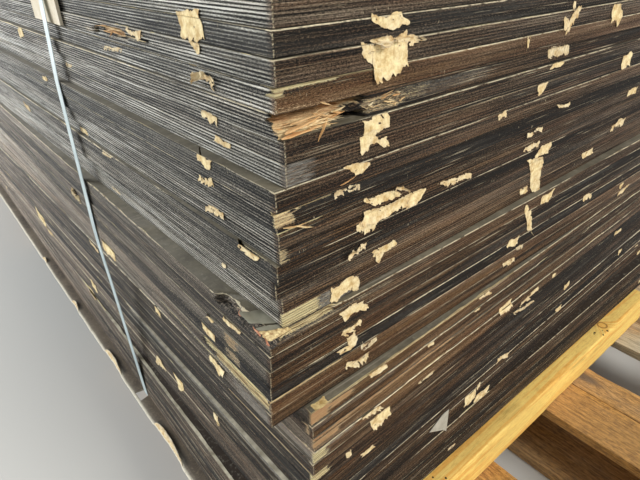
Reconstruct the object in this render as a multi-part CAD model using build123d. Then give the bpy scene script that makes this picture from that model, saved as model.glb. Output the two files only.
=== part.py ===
from build123d import *
import os
from math import cos, radians, sin, sqrt, tan

# A stack of film-faced plywood sheets, strapped, on bearers and two block pallets.
# X runs along the sheets' width, Y along their length, Z is up from the floor.
# The near corner of the stack is its low-X, low-Y corner.

# Plywood sheets
SHEET_LENGTH = 2500.0
SHEET_WIDTH = 1250.0
SHEET_THICKNESS = 18.0

# The sheets as they were lifted on, from the top down. Each lift gives how far its sheets' near
# corners stand out to the left (-X) and to the front (-Y), one value for each sheet, and how far the
# lift is turned, in degrees counter-clockwise from above.
LIFTS = [
    {"left": [0.0, -1.5, 1.0, 3.0, 4.5], "front": [0.0, 0.0, 2.0, 5.0, 6.0], "turn": 0.4},
    {"left": [4.0, 1.8, 2.2], "front": [8.0, 10.0, 10.5], "turn": 1.1},
    {"left": [12.9, 11.9, 9.0], "front": [10.4, 8.0, 5.0], "turn": 1.1},
    {"left": [4.6, 9.3, 9.0], "front": [0.8, -0.2, -5.0], "turn": 1.1},
    {"left": [2.6, 2.2], "front": [-5.8, -6.3], "turn": 1.1},
    {"left": [21.5, 22.4, 24.6], "front": [-1.0, -1.6, -0.8], "turn": 0.5},
    {"left": [25.6, 26.7, 27.1], "front": [-1.1, -1.6, -2.4], "turn": 0.5},
    {"left": [-13.3, -12.0, -12.0, -10.5], "front": [9.7, 11.5, 13.3, 14.8], "turn": 1.5},
    {"left": [-9.0, -8.5, -8.0, -7.5], "front": [14.5, 13.5, 12.2, 11.0], "turn": 1.6},
    {"left": [-2.0, 0.0, 1.0, 1.5, 2.0], "front": [8.5, 8.0, 8.5, 8.5, 8.0], "turn": 1.3},
    {"left": [22.0, 23.0, 24.0, 24.5, 25.0], "front": [3.0, 2.5, 2.0, 1.5, 1.0], "turn": 0.0},
]

# Every cut into the wood starts this far outside it
CUT_OUTSIDE = 2.0

# Broken corner of the sixth sheet: how far it reaches along the front and the left edge, and how deep
# the teeth of its torn line go. Its plies are broken in steps, each lower one reaching less far.
BROKEN_SHEET = 6
BREAK_ALONG_FRONT = 84.0
BREAK_ALONG_LEFT = 34.0
BREAK_DEPTH = 24.0
BREAK_STEPS = 3
BREAK_STEP_BACK = 0.27
# Shares of the thickness at which the steps lie: the uppermost step's floor, and the drop to the next
BREAK_FIRST_FLOOR = 0.62
BREAK_STEP_DROP = 0.2
# The torn line is a wave between its teeth: their number, the turn of the wave from tooth to tooth and
# from step to step, in radians, and the wave's middle and swing as shares of the depth
BREAK_TEETH = 7
BREAK_TOOTH_TURN = 2.6
BREAK_STEP_TURN = 1.9
BREAK_WAVE_MIDDLE = 0.55
BREAK_WAVE_SWING = 0.45
BREAK_LEAST_DEPTH = 1.0

# Plies split off the edges of other sheets: sheet number, side, start and length of the split along
# that side from the near corner, depth into the sheet, and the shares of the thickness between which
# the plies are gone
SPLITS = [
    {"sheet": 4, "side": "left", "start": 198.0, "length": 155.0, "depth": 5.0, "low": 0.12, "high": 0.68},
    {"sheet": 10, "side": "front", "start": 0.0, "length": 62.0, "depth": 3.0, "low": 0.70, "high": 1.0},
    {"sheet": 17, "side": "left", "start": 0.0, "length": 92.0, "depth": 11.0, "low": 0.50, "high": 1.0},
    {"sheet": 17, "side": "front", "start": 0.0, "length": 80.0, "depth": 5.0, "low": 0.76, "high": 1.0},
    {"sheet": 21, "side": "left", "start": 12.0, "length": 128.0, "depth": 3.5, "low": 0.55, "high": 1.0},
]
# Outline of a split from its far end back, as shares of its length and of its depth
SPLIT_OUTLINE = [(0.7, 0.7), (0.46, 1.0), (0.12, 1.0)]

# Thin cover board between the bearers and the lowest sheet, past whose left edge it shows
COVER_THICKNESS = 3.0
COVER_OUT_LEFT = 23.0
COVER_IN_RIGHT = 7.0
COVER_IN_ENDS = 4.0
# Torn places on its left edge: distance of the middle from the near end, length, depth
COVER_TEARS = [(325.0, 118.0, 15.0), (585.0, 96.0, 12.0), (834.0, 52.0, 9.0), (1104.0, 38.0, 8.0)]
# Outline of a tear inside the board, as shares of its length from its middle and of its depth
COVER_TEAR_OUTLINE = [(-0.35, 0.4), (-0.1, 1.0), (0.15, 0.7), (0.3, 0.9)]

# Bearers, square timbers across the pallets
BEARER_HEIGHT = 75.0
BEARER_DEPTH = 75.0
BEARER_LENGTH = 1000.0
# How far each bearer's middle lies to the left of the pallets' middle line, from the front one on
BEARER_SHIFTS = [105.0, 40.0, 65.0, 20.0]
BEARER_CHAMFER = 3.0
BEARER_OUT_FRONT = 29.0
BEARER_IN_FROM_PALLET_END = 5.0

# Block pallets, both alike
PALLET_WIDTH = 1200.0
PALLET_LENGTH = 1200.0
PALLET_OVERHANG = 350.0
DECK_THICKNESS = 20.0
DECK_EDGE_BOARD_WIDTH = 115.0
# Inner deck boards: centre from the pallet's middle line, and width
DECK_INNER_BOARDS = [(-267.0, 100.0), (14.5, 105.0), (103.5, 70.0), (324.0, 108.0)]
CROSS_BOARD_THICKNESS = 20.0
CROSS_BOARD_WIDTH = 100.0
BLOCK_HEIGHT = 78.0
BLOCK_WIDTH = 100.0
BLOCK_LENGTH = 140.0
BOTTOM_BOARD_THICKNESS = 22.0
BOTTOM_BOARD_WIDTH = 130.0
BOARD_CHAMFER = 1.5

# Straps, of flat plastic band, and what goes with them
STRAP_WIDTH = 19.0
STRAP_THICKNESS = 0.8
STRAP_CLEARANCE = 0.3
STRAP_FROM_END = 506.0
# How far the strap has run towards the stack's end at its kink and at its foot, on the left side
STRAP_SLANT_AT_KINK = 32.0
STRAP_SLANT = 44.0
STRAP_KINK_BELOW_TOP = 473.0
PROTECTOR_LENGTH = 125.0
PROTECTOR_PAST_STRAP = 13.0
PROTECTOR_LEG_DOWN = 70.0
PROTECTOR_LEG_TOP = 60.0
PROTECTOR_THICKNESS = 4.0
PROTECTOR_RADIUS = 3.0
NOTCH_CLEARANCE = 6.0
NOTCH_INWARD = 12.0
SEAL_LENGTH = 32.0
SEAL_WALL = 1.0
SEAL_CLEARANCE = 0.2
SEAL_CRIMP_DEPTH = 2.5
SEAL_CRIMPS = 2

# Heights that follow from the above
PALLET_HEIGHT = BOTTOM_BOARD_THICKNESS + BLOCK_HEIGHT + CROSS_BOARD_THICKNESS + DECK_THICKNESS
BEARER_TOP = PALLET_HEIGHT + BEARER_HEIGHT
STACK_BOTTOM = BEARER_TOP + COVER_THICKNESS
SHEETS = [
    {"left": left, "front": front, "turn": lift["turn"]}
    for lift in LIFTS
    for left, front in zip(lift["left"], lift["front"])
]
STACK_TOP = STACK_BOTTOM + len(SHEETS) * SHEET_THICKNESS
# A strap that goes over a protector's rounded nose bends in two steps, which just clear the round
STRAP_BEND = PROTECTOR_RADIUS * (2 - sqrt(2))


def box_between(low, high):
    """A plain box from its lowest corner to its highest."""
    size = [b - a for a, b in zip(low, high)]
    return Pos(*low) * Box(*size, align=(Align.MIN, Align.MIN, Align.MIN))


def board(low, high, chamfer_size, along):
    """A sawn board whose four long edges, along the named axis, are lightly broken."""
    solid = box_between(low, high)
    return chamfer(solid.edges().filter_by(along), chamfer_size)


def sheet_corner(sheet):
    """Near corner of one sheet in plan."""
    return -SHEET_WIDTH / 2 - sheet["left"], -SHEET_LENGTH / 2 - sheet["front"]


def sheet_top(number):
    """Height of the upper face of sheet 1, 2, 3 and so on, counted from the top."""
    return STACK_TOP - (number - 1) * SHEET_THICKNESS


def left_edge_x(sheet, y):
    """Where a sheet's left edge lies in X at the given Y."""
    corner_x, corner_y = sheet_corner(sheet)
    return corner_x - tan(radians(sheet["turn"])) * (y - corner_y)


def right_edge_x(sheet, y):
    """Where a sheet's right edge lies in X at the given Y."""
    return left_edge_x(sheet, y) + SHEET_WIDTH / cos(radians(sheet["turn"]))


def torn_outline(along_x, along_y, depth, phase):
    """Ragged outline of a broken corner, a little outside the sheet on its two outer sides."""
    points = [(-CUT_OUTSIDE, -CUT_OUTSIDE), (along_x, -CUT_OUTSIDE)]
    for tooth in range(BREAK_TEETH):
        wave = BREAK_WAVE_MIDDLE + BREAK_WAVE_SWING * sin(BREAK_TOOTH_TURN * tooth + phase)
        points.append((along_x * (1 - tooth / BREAK_TEETH), max(depth * wave, BREAK_LEAST_DEPTH)))
    points.append((0, along_y))
    points.append((-CUT_OUTSIDE, along_y))
    return points


def broken_corner():
    """What the break takes out of a sheet: steps of plies, the upper ones torn back further."""
    cuts = []
    ceiling = SHEET_THICKNESS + CUT_OUTSIDE
    for step in range(BREAK_STEPS):
        reach = 1 - BREAK_STEP_BACK * step
        floor = SHEET_THICKNESS * (BREAK_FIRST_FLOOR - BREAK_STEP_DROP * step)
        outline = torn_outline(
            BREAK_ALONG_FRONT * reach, BREAK_ALONG_LEFT * reach, BREAK_DEPTH * reach, BREAK_STEP_TURN * step
        )
        face = make_face(Polyline(*outline, close=True))
        cuts.append(Pos(0, 0, floor) * extrude(face, ceiling - floor))
        ceiling = floor
    return cuts


def split_off(split):
    """Plies split off along one edge, as a low strip with a tapered far end to cut from a sheet."""
    start, length, depth = split["start"], split["length"], split["depth"]
    at_corner = start == 0
    outline = [(start - CUT_OUTSIDE if at_corner else start, -CUT_OUTSIDE), (start + length, -CUT_OUTSIDE)]
    outline += [(start + length * along, depth * inward) for along, inward in SPLIT_OUTLINE]
    if at_corner:
        outline.append((-CUT_OUTSIDE, depth))
    if split["side"] == "left":
        outline = [(y, x) for x, y in outline]
    face = make_face(Polyline(*outline, close=True))
    floor = SHEET_THICKNESS * split["low"]
    ceiling = SHEET_THICKNESS * split["high"] + (CUT_OUTSIDE if split["high"] == 1 else 0)
    return Pos(0, 0, floor) * extrude(face, ceiling - floor)


def plywood_sheet(number):
    """One sheet, with its damage, turned about its near corner and laid in its place."""
    sheet = SHEETS[number - 1]
    solid = box_between((0, 0, 0), (SHEET_WIDTH, SHEET_LENGTH, SHEET_THICKNESS))
    if number == BROKEN_SHEET:
        for cut in broken_corner():
            solid = solid - cut
    for split in SPLITS:
        if split["sheet"] == number:
            solid = solid - split_off(split)
    corner_x, corner_y = sheet_corner(sheet)
    place = Location((corner_x, corner_y, sheet_top(number) - SHEET_THICKNESS))
    return place * Rot(0, 0, sheet["turn"]) * solid


def strap_notches():
    """The Y of each place where a strap goes down past the cover board's left edge."""
    return [-SHEET_LENGTH / 2 + STRAP_FROM_END - STRAP_SLANT, SHEET_LENGTH / 2 - STRAP_FROM_END + STRAP_SLANT]


def cover_edges():
    """X of the cover board's left and right edges, from the lowest sheet's own."""
    ends = (-SHEET_LENGTH / 2, SHEET_LENGTH / 2)
    low_x = min(left_edge_x(SHEETS[-1], y) for y in ends) - COVER_OUT_LEFT
    high_x = min(right_edge_x(SHEETS[-1], y) for y in ends) - COVER_IN_RIGHT
    return low_x, high_x


def cover_board():
    """The cover board: it shows past the sheets on the left, torn, and notched for the straps."""
    low_x, high_x = cover_edges()
    low_y = -SHEET_LENGTH / 2 + COVER_IN_ENDS
    solid = box_between((low_x, low_y, BEARER_TOP), (high_x, -low_y, STACK_BOTTOM))
    for middle, length, depth in COVER_TEARS:
        y = -SHEET_LENGTH / 2 + middle
        outline = [(low_x - CUT_OUTSIDE, y - length / 2)]
        outline += [(low_x + depth * inward, y + length * along) for along, inward in COVER_TEAR_OUTLINE]
        outline.append((low_x - CUT_OUTSIDE, y + length / 2))
        face = Pos(0, 0, BEARER_TOP) * make_face(Polyline(*outline, close=True))
        solid = solid - extrude(face, COVER_THICKNESS)
    for y in strap_notches():
        half = STRAP_WIDTH / 2 + NOTCH_CLEARANCE
        reach = left_edge_x(SHEETS[-1], y) + NOTCH_INWARD
        notch = box_between((low_x - CUT_OUTSIDE, y - half, BEARER_TOP), (reach, y + half, STACK_BOTTOM))
        solid = solid - notch
    return solid


def bearers():
    """Square timbers along X, two on each pallet, the first standing out at the front."""
    outer = -SHEET_LENGTH / 2 - BEARER_OUT_FRONT
    inner = pallet_low_y("front") + PALLET_LENGTH - BEARER_IN_FROM_PALLET_END - BEARER_DEPTH
    starts = [outer, inner, -inner - BEARER_DEPTH, -outer - BEARER_DEPTH]
    timbers = []
    for y, shift in zip(starts, BEARER_SHIFTS):
        low = (-shift - BEARER_LENGTH / 2, y, PALLET_HEIGHT)
        high = (-shift + BEARER_LENGTH / 2, y + BEARER_DEPTH, BEARER_TOP)
        timbers.append(board(low, high, BEARER_CHAMFER, Axis.X))
    return timbers


def pallet_low_y(which):
    """Low-Y end of the front or the rear pallet."""
    if which == "front":
        return -SHEET_LENGTH / 2 - PALLET_OVERHANG
    return SHEET_LENGTH / 2 + PALLET_OVERHANG - PALLET_LENGTH


def pallet_deck(which):
    """Deck boards, along Y, at the spacing of the real pallet."""
    low_y = pallet_low_y(which)
    low_z = PALLET_HEIGHT - DECK_THICKNESS
    edge = PALLET_WIDTH / 2 - DECK_EDGE_BOARD_WIDTH / 2
    places = [(-edge, DECK_EDGE_BOARD_WIDTH), *DECK_INNER_BOARDS, (edge, DECK_EDGE_BOARD_WIDTH)]
    boards = []
    for x, width in places:
        low = (x - width / 2, low_y, low_z)
        high = (x + width / 2, low_y + PALLET_LENGTH, PALLET_HEIGHT)
        boards.append(board(low, high, BOARD_CHAMFER, Axis.Y))
    return boards


def thirds(low, length, piece):
    """Low ends of three like pieces: one at each end of a length and one in the middle."""
    return [low, low + (length - piece) / 2, low + length - piece]


def pallet_cross_boards(which):
    """Three boards along X that carry the deck."""
    low_z = BOTTOM_BOARD_THICKNESS + BLOCK_HEIGHT
    half = PALLET_WIDTH / 2
    return [
        board(
            (-half, y, low_z), (half, y + CROSS_BOARD_WIDTH, low_z + CROSS_BOARD_THICKNESS),
            BOARD_CHAMFER, Axis.X,
        )
        for y in thirds(pallet_low_y(which), PALLET_LENGTH, CROSS_BOARD_WIDTH)
    ]


def pallet_blocks(which):
    """Nine blocks under the cross boards."""
    low_z = BOTTOM_BOARD_THICKNESS
    return [
        box_between((x, y, low_z), (x + BLOCK_LENGTH, y + BLOCK_WIDTH, low_z + BLOCK_HEIGHT))
        for x in thirds(-PALLET_WIDTH / 2, PALLET_WIDTH, BLOCK_LENGTH)
        for y in thirds(pallet_low_y(which), PALLET_LENGTH, BLOCK_WIDTH)
    ]


def pallet_bottom_boards(which):
    """Three boards along Y under the blocks."""
    low_y = pallet_low_y(which)
    inset = (BLOCK_LENGTH - BOTTOM_BOARD_WIDTH) / 2
    return [
        board(
            (x + inset, low_y, 0),
            (x + inset + BOTTOM_BOARD_WIDTH, low_y + PALLET_LENGTH, BOTTOM_BOARD_THICKNESS),
            BOARD_CHAMFER, Axis.Y,
        )
        for x in thirds(-PALLET_WIDTH / 2, PALLET_WIDTH, BLOCK_LENGTH)
    ]


def strap_ys(which):
    """The Y of one strap at the top, at its kink and where it goes under the stack."""
    top = -SHEET_LENGTH / 2 + STRAP_FROM_END
    ys = (top, top - STRAP_SLANT_AT_KINK, top - STRAP_SLANT)
    return ys if which == "front" else tuple(-y for y in ys)


def protector_y(which):
    """The Y of the middle of one strap's edge protectors."""
    middle = -SHEET_LENGTH / 2 + STRAP_FROM_END + PROTECTOR_PAST_STRAP
    return middle if which == "front" else -middle


def outmost(side, numbers, ys):
    """How far out from the middle plane the named sheets reach on one side, near the given Ys."""
    if side == "left":
        return max(-left_edge_x(SHEETS[n - 1], y) for n in numbers for y in ys)
    return max(right_edge_x(SHEETS[n - 1], y) for n in numbers for y in ys)


def protector_seat(side, which):
    """Inner face of the edge protector's hanging leg, as a distance from the middle plane."""
    covered = int(PROTECTOR_LEG_DOWN // SHEET_THICKNESS) + 1
    y = protector_y(which)
    ends = (y - PROTECTOR_LENGTH / 2, y + PROTECTOR_LENGTH / 2)
    return outmost(side, range(1, covered + 1), ends) + STRAP_CLEARANCE


def taut_line(points):
    """The outmost points of a face, from the top down, that a tight strap rests on."""
    chain = []
    for out, z in points:
        while len(chain) > 1:
            (out_a, z_a), (out_b, z_b) = chain[-2:]
            if (out_b - out_a) * (z - z_a) - (out - out_a) * (z_b - z_a) < 0:
                break
            chain.pop()
        chain.append((out, z))
    return chain


def side_line(side, which):
    """The strap's inner line down one side: over the protector, then past the sheets' edges."""
    middles = strap_ys(which) if side == "left" else strap_ys(which)[:1]
    ys = [y + half for y in middles for half in (-STRAP_WIDTH / 2, STRAP_WIDTH / 2)]
    seat = protector_seat(side, which) + PROTECTOR_THICKNESS
    top = STACK_TOP + PROTECTOR_THICKNESS
    points = [(seat, top), (seat, STACK_TOP - PROTECTOR_LEG_DOWN)]
    for number in range(int(PROTECTOR_LEG_DOWN // SHEET_THICKNESS) + 2, len(SHEETS) + 1):
        out = outmost(side, [number], ys)
        points.append((out, sheet_top(number)))
        points.append((out, sheet_top(number) - SHEET_THICKNESS))
    points.append((points[-1][0], BEARER_TOP))
    return [(out + STRAP_CLEARANCE, z) for out, z in taut_line(points)]


def with_kink(line, z_kink):
    """The same line with a point of its own at the height of the strap's kink."""
    for place in range(1, len(line)):
        (out_a, z_a), (out_b, z_b) = line[place - 1 : place + 1]
        if z_b < z_kink < z_a:
            out = out_a + (out_b - out_a) * (z_a - z_kink) / (z_a - z_b)
            return line[:place] + [(out, z_kink)] + line[place:]
    return line


def slanted_y(z, which):
    """The Y of one strap's slanting left side at a height."""
    y_top, y_kink, y_under = strap_ys(which)
    kink = STACK_TOP - STRAP_KINK_BELOW_TOP
    edge = STACK_TOP - PROTECTOR_LEG_DOWN
    if z >= kink:
        return y_top + (y_kink - y_top) * (edge - min(z, edge)) / (edge - kink)
    return y_kink + (y_under - y_kink) * (kink - z) / (kink - BEARER_TOP)


def strap_path(which):
    """Inner corners of the strap's ring, from the top left, down, under and up again."""
    y_top, _, y_under = strap_ys(which)
    left = with_kink(side_line("left", which), STACK_TOP - STRAP_KINK_BELOW_TOP)
    right = side_line("right", which)
    top = STACK_TOP + PROTECTOR_THICKNESS + STRAP_CLEARANCE
    bottom = BEARER_TOP - STRAP_CLEARANCE
    path = [(-left[0][0] + STRAP_BEND, y_top, top), (-left[0][0], y_top, top - STRAP_BEND)]
    path += [(-out, slanted_y(z, which), z) for out, z in left[1:-1]]
    path.append((-left[-1][0], y_under, bottom))
    path.append((right[-1][0], y_top, bottom))
    path += [(out, y_top, z) for out, z in reversed(right[1:-1])]
    path.append((right[0][0], y_top, top - STRAP_BEND))
    path.append((right[0][0] - STRAP_BEND, y_top, top))
    return path


def mitre(before, here, after):
    """Outward offset of a ring's corner in the XZ plane that keeps the band's thickness."""
    normals = []
    for a, b in ((before, here), (here, after)):
        run = Vector(b[0] - a[0], 0, b[2] - a[2]).normalized()
        normals.append(Vector(run.Z, 0, -run.X))
    middle = (normals[0] + normals[1]).normalized()
    return middle * (STRAP_THICKNESS / middle.dot(normals[0]))


def strap(which):
    """One strap, a closed ring of flat band in runs that meet at mitred corners."""
    path = strap_path(which)
    count = len(path)
    sections = []
    for place, here in enumerate(path):
        inner = Vector(*here)
        outer = inner + mitre(path[place - 1], here, path[(place + 1) % count])
        half = Vector(0, STRAP_WIDTH / 2, 0)
        sections.append(Wire.make_polygon([inner - half, inner + half, outer + half, outer - half]))
    runs = [Solid.make_loft([sections[n], sections[(n + 1) % count]], ruled=True) for n in range(count)]
    return runs[0].fuse(*runs[1:])


def edge_protectors(which):
    """The strap's two angle pieces, each over one upper long edge of the stack."""
    y = protector_y(which)
    pieces = []
    for side, sign in (("left", -1), ("right", 1)):
        seat = protector_seat(side, which)
        outer = seat + PROTECTOR_THICKNESS
        outline = [
            (outer - PROTECTOR_LEG_TOP, STACK_TOP),
            (seat, STACK_TOP),
            (seat, STACK_TOP - PROTECTOR_LEG_DOWN),
            (outer, STACK_TOP - PROTECTOR_LEG_DOWN),
            (outer, STACK_TOP + PROTECTOR_THICKNESS),
            (outer - PROTECTOR_LEG_TOP, STACK_TOP + PROTECTOR_THICKNESS),
        ]
        profile = Plane.XZ * make_face(Polyline(*[(sign * out, z) for out, z in outline], close=True))
        angle = Pos(0, y + PROTECTOR_LENGTH / 2, 0) * extrude(profile, PROTECTOR_LENGTH)
        long_edges = angle.edges().filter_by(Axis.Y)
        nose = long_edges.sort_by(lambda edge: sign * edge.center().X + edge.center().Z)[-1]
        pieces.append(fillet(nose, PROTECTOR_RADIUS))
    return pieces


def strap_seal(which):
    """Crimped metal sleeve that joins the strap's ends, on the run over the top."""
    y = strap_ys(which)[0]
    strap_low = STACK_TOP + PROTECTOR_THICKNESS + STRAP_CLEARANCE
    room = STRAP_THICKNESS + 2 * SEAL_CLEARANCE
    across = STRAP_WIDTH + 2 * SEAL_CLEARANCE
    low_z = strap_low - SEAL_CLEARANCE - SEAL_WALL
    sleeve = box_between(
        (-SEAL_LENGTH / 2, y - across / 2 - SEAL_WALL, low_z),
        (SEAL_LENGTH / 2, y + across / 2 + SEAL_WALL, low_z + room + 2 * SEAL_WALL),
    )
    bore = box_between(
        (-SEAL_LENGTH, y - across / 2, low_z + SEAL_WALL),
        (SEAL_LENGTH, y + across / 2, low_z + SEAL_WALL + room),
    )
    sleeve = sleeve - bore
    for crimp in range(SEAL_CRIMPS):
        x = SEAL_LENGTH * ((crimp + 1) / (SEAL_CRIMPS + 1) - 0.5)
        for edge_y in (y - across / 2 - SEAL_WALL, y + across / 2 + SEAL_WALL):
            outward = 1 if edge_y > y else -1
            inner_y = edge_y - outward * SEAL_WALL * 0.5
            corners = [(x - SEAL_CRIMP_DEPTH, edge_y), (x + SEAL_CRIMP_DEPTH, edge_y), (x, inner_y)]
            pinch = make_face(Polyline(*corners, close=True))
            sleeve = sleeve - Pos(0, 0, low_z) * extrude(pinch, room + 2 * SEAL_WALL)
    return sleeve


def all_nodes():
    """Every node's name and its solids."""
    nodes = {}
    for number in range(1, len(SHEETS) + 1):
        nodes[f"sheet_{number:02d}"] = [plywood_sheet(number)]
    nodes["cover_board"] = [cover_board()]
    for number, timber in enumerate(bearers(), start=1):
        nodes[f"bearer_{number}"] = [timber]
    for which in ("front", "rear"):
        nodes[f"{which}_pallet_deck_boards"] = pallet_deck(which)
        nodes[f"{which}_pallet_cross_boards"] = pallet_cross_boards(which)
        nodes[f"{which}_pallet_blocks"] = pallet_blocks(which)
        nodes[f"{which}_pallet_bottom_boards"] = pallet_bottom_boards(which)
        nodes[f"{which}_strap"] = [strap(which)]
        nodes[f"{which}_edge_protectors"] = edge_protectors(which)
        nodes[f"{which}_strap_seal"] = [strap_seal(which)]
    return nodes


def plain_solids(shapes):
    """The bare solids of a list of shapes."""
    return [solid for shape in shapes for solid in shape.solids()]


def main():
    """Centre the whole stack in plan over the origin and write one file for each node."""
    nodes = {name: plain_solids(shapes) for name, shapes in all_nodes().items()}
    whole = Compound([solid for solids in nodes.values() for solid in solids]).bounding_box()
    centring = Location((-whole.center().X, -whole.center().Y, 0))
    os.makedirs("parts", exist_ok=True)
    for name, solids in nodes.items():
        placed = [centring * solid for solid in solids]
        shape = placed[0] if len(placed) == 1 else Compound(placed)
        export_step(shape, f"parts/{name}.step")


main()
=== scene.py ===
import math
from dataclasses import dataclass

import bpy
import numpy as np
from mathutils import Matrix, Vector


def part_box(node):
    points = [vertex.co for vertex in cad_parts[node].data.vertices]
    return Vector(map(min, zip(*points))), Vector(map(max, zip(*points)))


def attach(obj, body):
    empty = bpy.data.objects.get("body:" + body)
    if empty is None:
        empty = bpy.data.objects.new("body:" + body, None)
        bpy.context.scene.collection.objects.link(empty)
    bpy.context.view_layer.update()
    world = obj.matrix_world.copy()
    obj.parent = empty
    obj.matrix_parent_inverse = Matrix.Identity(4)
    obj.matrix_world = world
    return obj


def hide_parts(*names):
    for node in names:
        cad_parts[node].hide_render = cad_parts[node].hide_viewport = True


# A strapped stack of film-faced plywood sheets on bearers and pallets. Distances are in metres.
# "Near" is the low-Y end with the photo's corner, "left" the low-X long face.

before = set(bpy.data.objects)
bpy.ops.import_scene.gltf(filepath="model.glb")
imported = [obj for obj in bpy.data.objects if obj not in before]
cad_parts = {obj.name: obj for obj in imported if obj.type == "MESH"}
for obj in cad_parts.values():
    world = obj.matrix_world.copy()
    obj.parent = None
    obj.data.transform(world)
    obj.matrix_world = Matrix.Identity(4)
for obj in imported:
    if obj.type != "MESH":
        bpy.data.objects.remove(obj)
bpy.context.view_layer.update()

MM = 0.001
TURN = 2 * math.pi

# Sheets
SHEET_NAMES = sorted(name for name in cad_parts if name.startswith("sheet_"))
PLIES = 13
SIDES = ("front", "right", "rear", "left")

# The photo's camera, from the near upper corner of the stack: distances, focal length and axes
CAMERA_LEFT = 197 * MM
CAMERA_FRONT = 289 * MM
CAMERA_UP = 8.75 * MM
FOCAL_PIXELS = 503.0
FRAME_PIXELS = 640.0
CAMERA_RIGHT_AXIS = (0.76993, -0.63785, -0.01893)
CAMERA_UP_AXIS = (0.33245, 0.37561, 0.86510)
CAMERA_BACK_AXIS = (-0.54469, -0.67236, 0.50124)


def hashed(*lattice):
    """A repeatable number from 0 to 1 for each whole-number place."""
    weights = (12.9898, 78.233, 37.719)
    mixed = sum(np.asarray(axis, float) * weight for axis, weight in zip(lattice, weights))
    swirl = np.sin(mixed) * 43758.5453
    return swirl - np.floor(swirl)


def smooth_noise(x, y=0.0, seed=0):
    """Smooth noise from 0 to 1 over one or two coordinates, one bump for each unit."""
    x, y = np.broadcast_arrays(np.asarray(x, float), np.asarray(y, float))
    x0, y0 = np.floor(x), np.floor(y)
    fx, fy = x - x0, y - y0
    fx, fy = fx * fx * (3 - 2 * fx), fy * fy * (3 - 2 * fy)
    low = hashed(x0, y0, seed) * (1 - fx) + hashed(x0 + 1, y0, seed) * fx
    high = hashed(x0, y0 + 1, seed) * (1 - fx) + hashed(x0 + 1, y0 + 1, seed) * fx
    return low * (1 - fy) + high * fy


def layered_noise(x, y=0.0, seed=0, layers=3):
    """Smooth noise with finer and fainter layers added, about 0 to 1."""
    total = 0.0
    weight = 0.0
    for layer in range(layers):
        share = 0.5**layer
        finer = 2**layer
        total = total + share * smooth_noise(np.asarray(x) * finer, np.asarray(y) * finer, seed + 17 * layer)
        weight += share
    return total / weight


def rise(value, low, high):
    """0 below low, 1 above high, and smooth between."""
    share = np.clip((np.asarray(value, float) - low) / (high - low), 0, 1)
    return share * share * (3 - 2 * share)


@dataclass
class Sheet:
    """One plywood sheet: its number from the top, its corners in plan and its heights."""

    number: int
    corners: np.ndarray
    low: float
    high: float

    def side(self, name):
        """Start, direction, outward direction and length of one edge face, from its near or left end."""
        first, last = {"front": (0, 1), "right": (1, 2), "rear": (3, 2), "left": (0, 3)}[name]
        run = self.corners[last] - self.corners[first]
        length = np.linalg.norm(run)
        along = run / length
        outward = np.array([along[1], -along[0]])
        if name in ("left", "rear"):
            outward = -outward
        return self.corners[first], along, outward, length

    def inside(self, x, y, share):
        """A place from the near left corner: along the front edge, inward, and up as a share."""
        across = self.side("front")[1]
        back = self.side("left")[1]
        flat = self.corners[0] + across * x + back * y
        return np.array([flat[0], flat[1], self.low + (self.high - self.low) * share])


def read_sheet(name):
    """A sheet's corners, from the lower face of its node."""
    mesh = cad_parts[name].data
    points = np.array([vertex.co for vertex in mesh.vertices])
    low, high = points[:, 2].min(), points[:, 2].max()
    floor = points[points[:, 2] < low + 0.1 * MM][:, :2]
    total, across = floor[:, 0] + floor[:, 1], floor[:, 1] - floor[:, 0]
    order = [np.argmin(total), np.argmin(across), np.argmax(total), np.argmax(across)]
    return Sheet(int(name[-2:]), floor[order], float(low), float(high))


sheets = [read_sheet(name) for name in SHEET_NAMES]
thickness = sheets[0].high - sheets[0].low
stack_top = sheets[0].high
corner = sheets[0].corners[0]
camera_place = np.array([corner[0] - CAMERA_LEFT, corner[1] - CAMERA_FRONT, stack_top + CAMERA_UP])


def mesh_object(name, vertices, faces, materials, face_slots=None, sharp_over=None):
    """A mesh object in the row frame, flat, or smooth up to an angle in degrees."""
    mesh = bpy.data.meshes.new(name)
    mesh.from_pydata(np.asarray(vertices, float).tolist(), [], [list(face) for face in faces])
    for material in materials:
        mesh.materials.append(material)
    if face_slots is not None:
        mesh.polygons.foreach_set("material_index", np.asarray(face_slots, np.int32))
    mesh.polygons.foreach_set("use_smooth", np.full(len(mesh.polygons), sharp_over is not None))
    if sharp_over is not None:
        mesh.set_sharp_from_angle(angle=math.radians(sharp_over))
    mesh.update()
    piece = bpy.data.objects.new(name, mesh)
    bpy.context.scene.collection.objects.link(piece)
    return piece


def set_marks(piece, name, values):
    """Stores four numbers for each vertex, which the materials read as kinds of wear and tone, some of them
    painted shade and sheen.
    """
    layer = piece.data.color_attributes.new(name, "FLOAT_COLOR", "POINT")
    layer.data.foreach_set("color", np.asarray(values, np.float32).ravel())


def set_uv(piece, values):
    """Stores surface coordinates for each face corner."""
    layer = piece.data.uv_layers.new(name="surface")
    layer.data.foreach_set("uv", np.asarray(values, np.float32).ravel())


def settle(piece, slot, *nodes):
    """A finished piece: it rides with the stack and stands for the CAD nodes named."""
    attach(piece, "root")
    if nodes:
        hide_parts(*nodes)


# Where a colour mix takes its colours and gives its result
MIX_FIRST = 6
MIX_SECOND = 7
MIX_RESULT = 2


class Value:
    """One output of a material's nodes, which adds, subtracts and multiplies like a number."""

    def __init__(self, graph, socket):
        self.graph = graph
        self.socket = socket

    def __add__(self, other):
        return self.graph.math("ADD", self, other)

    def __sub__(self, other):
        return self.graph.math("SUBTRACT", self, other)

    def __rsub__(self, other):
        return self.graph.math("SUBTRACT", other, self)

    def __mul__(self, other):
        return self.graph.math("MULTIPLY", self, other)


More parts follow.
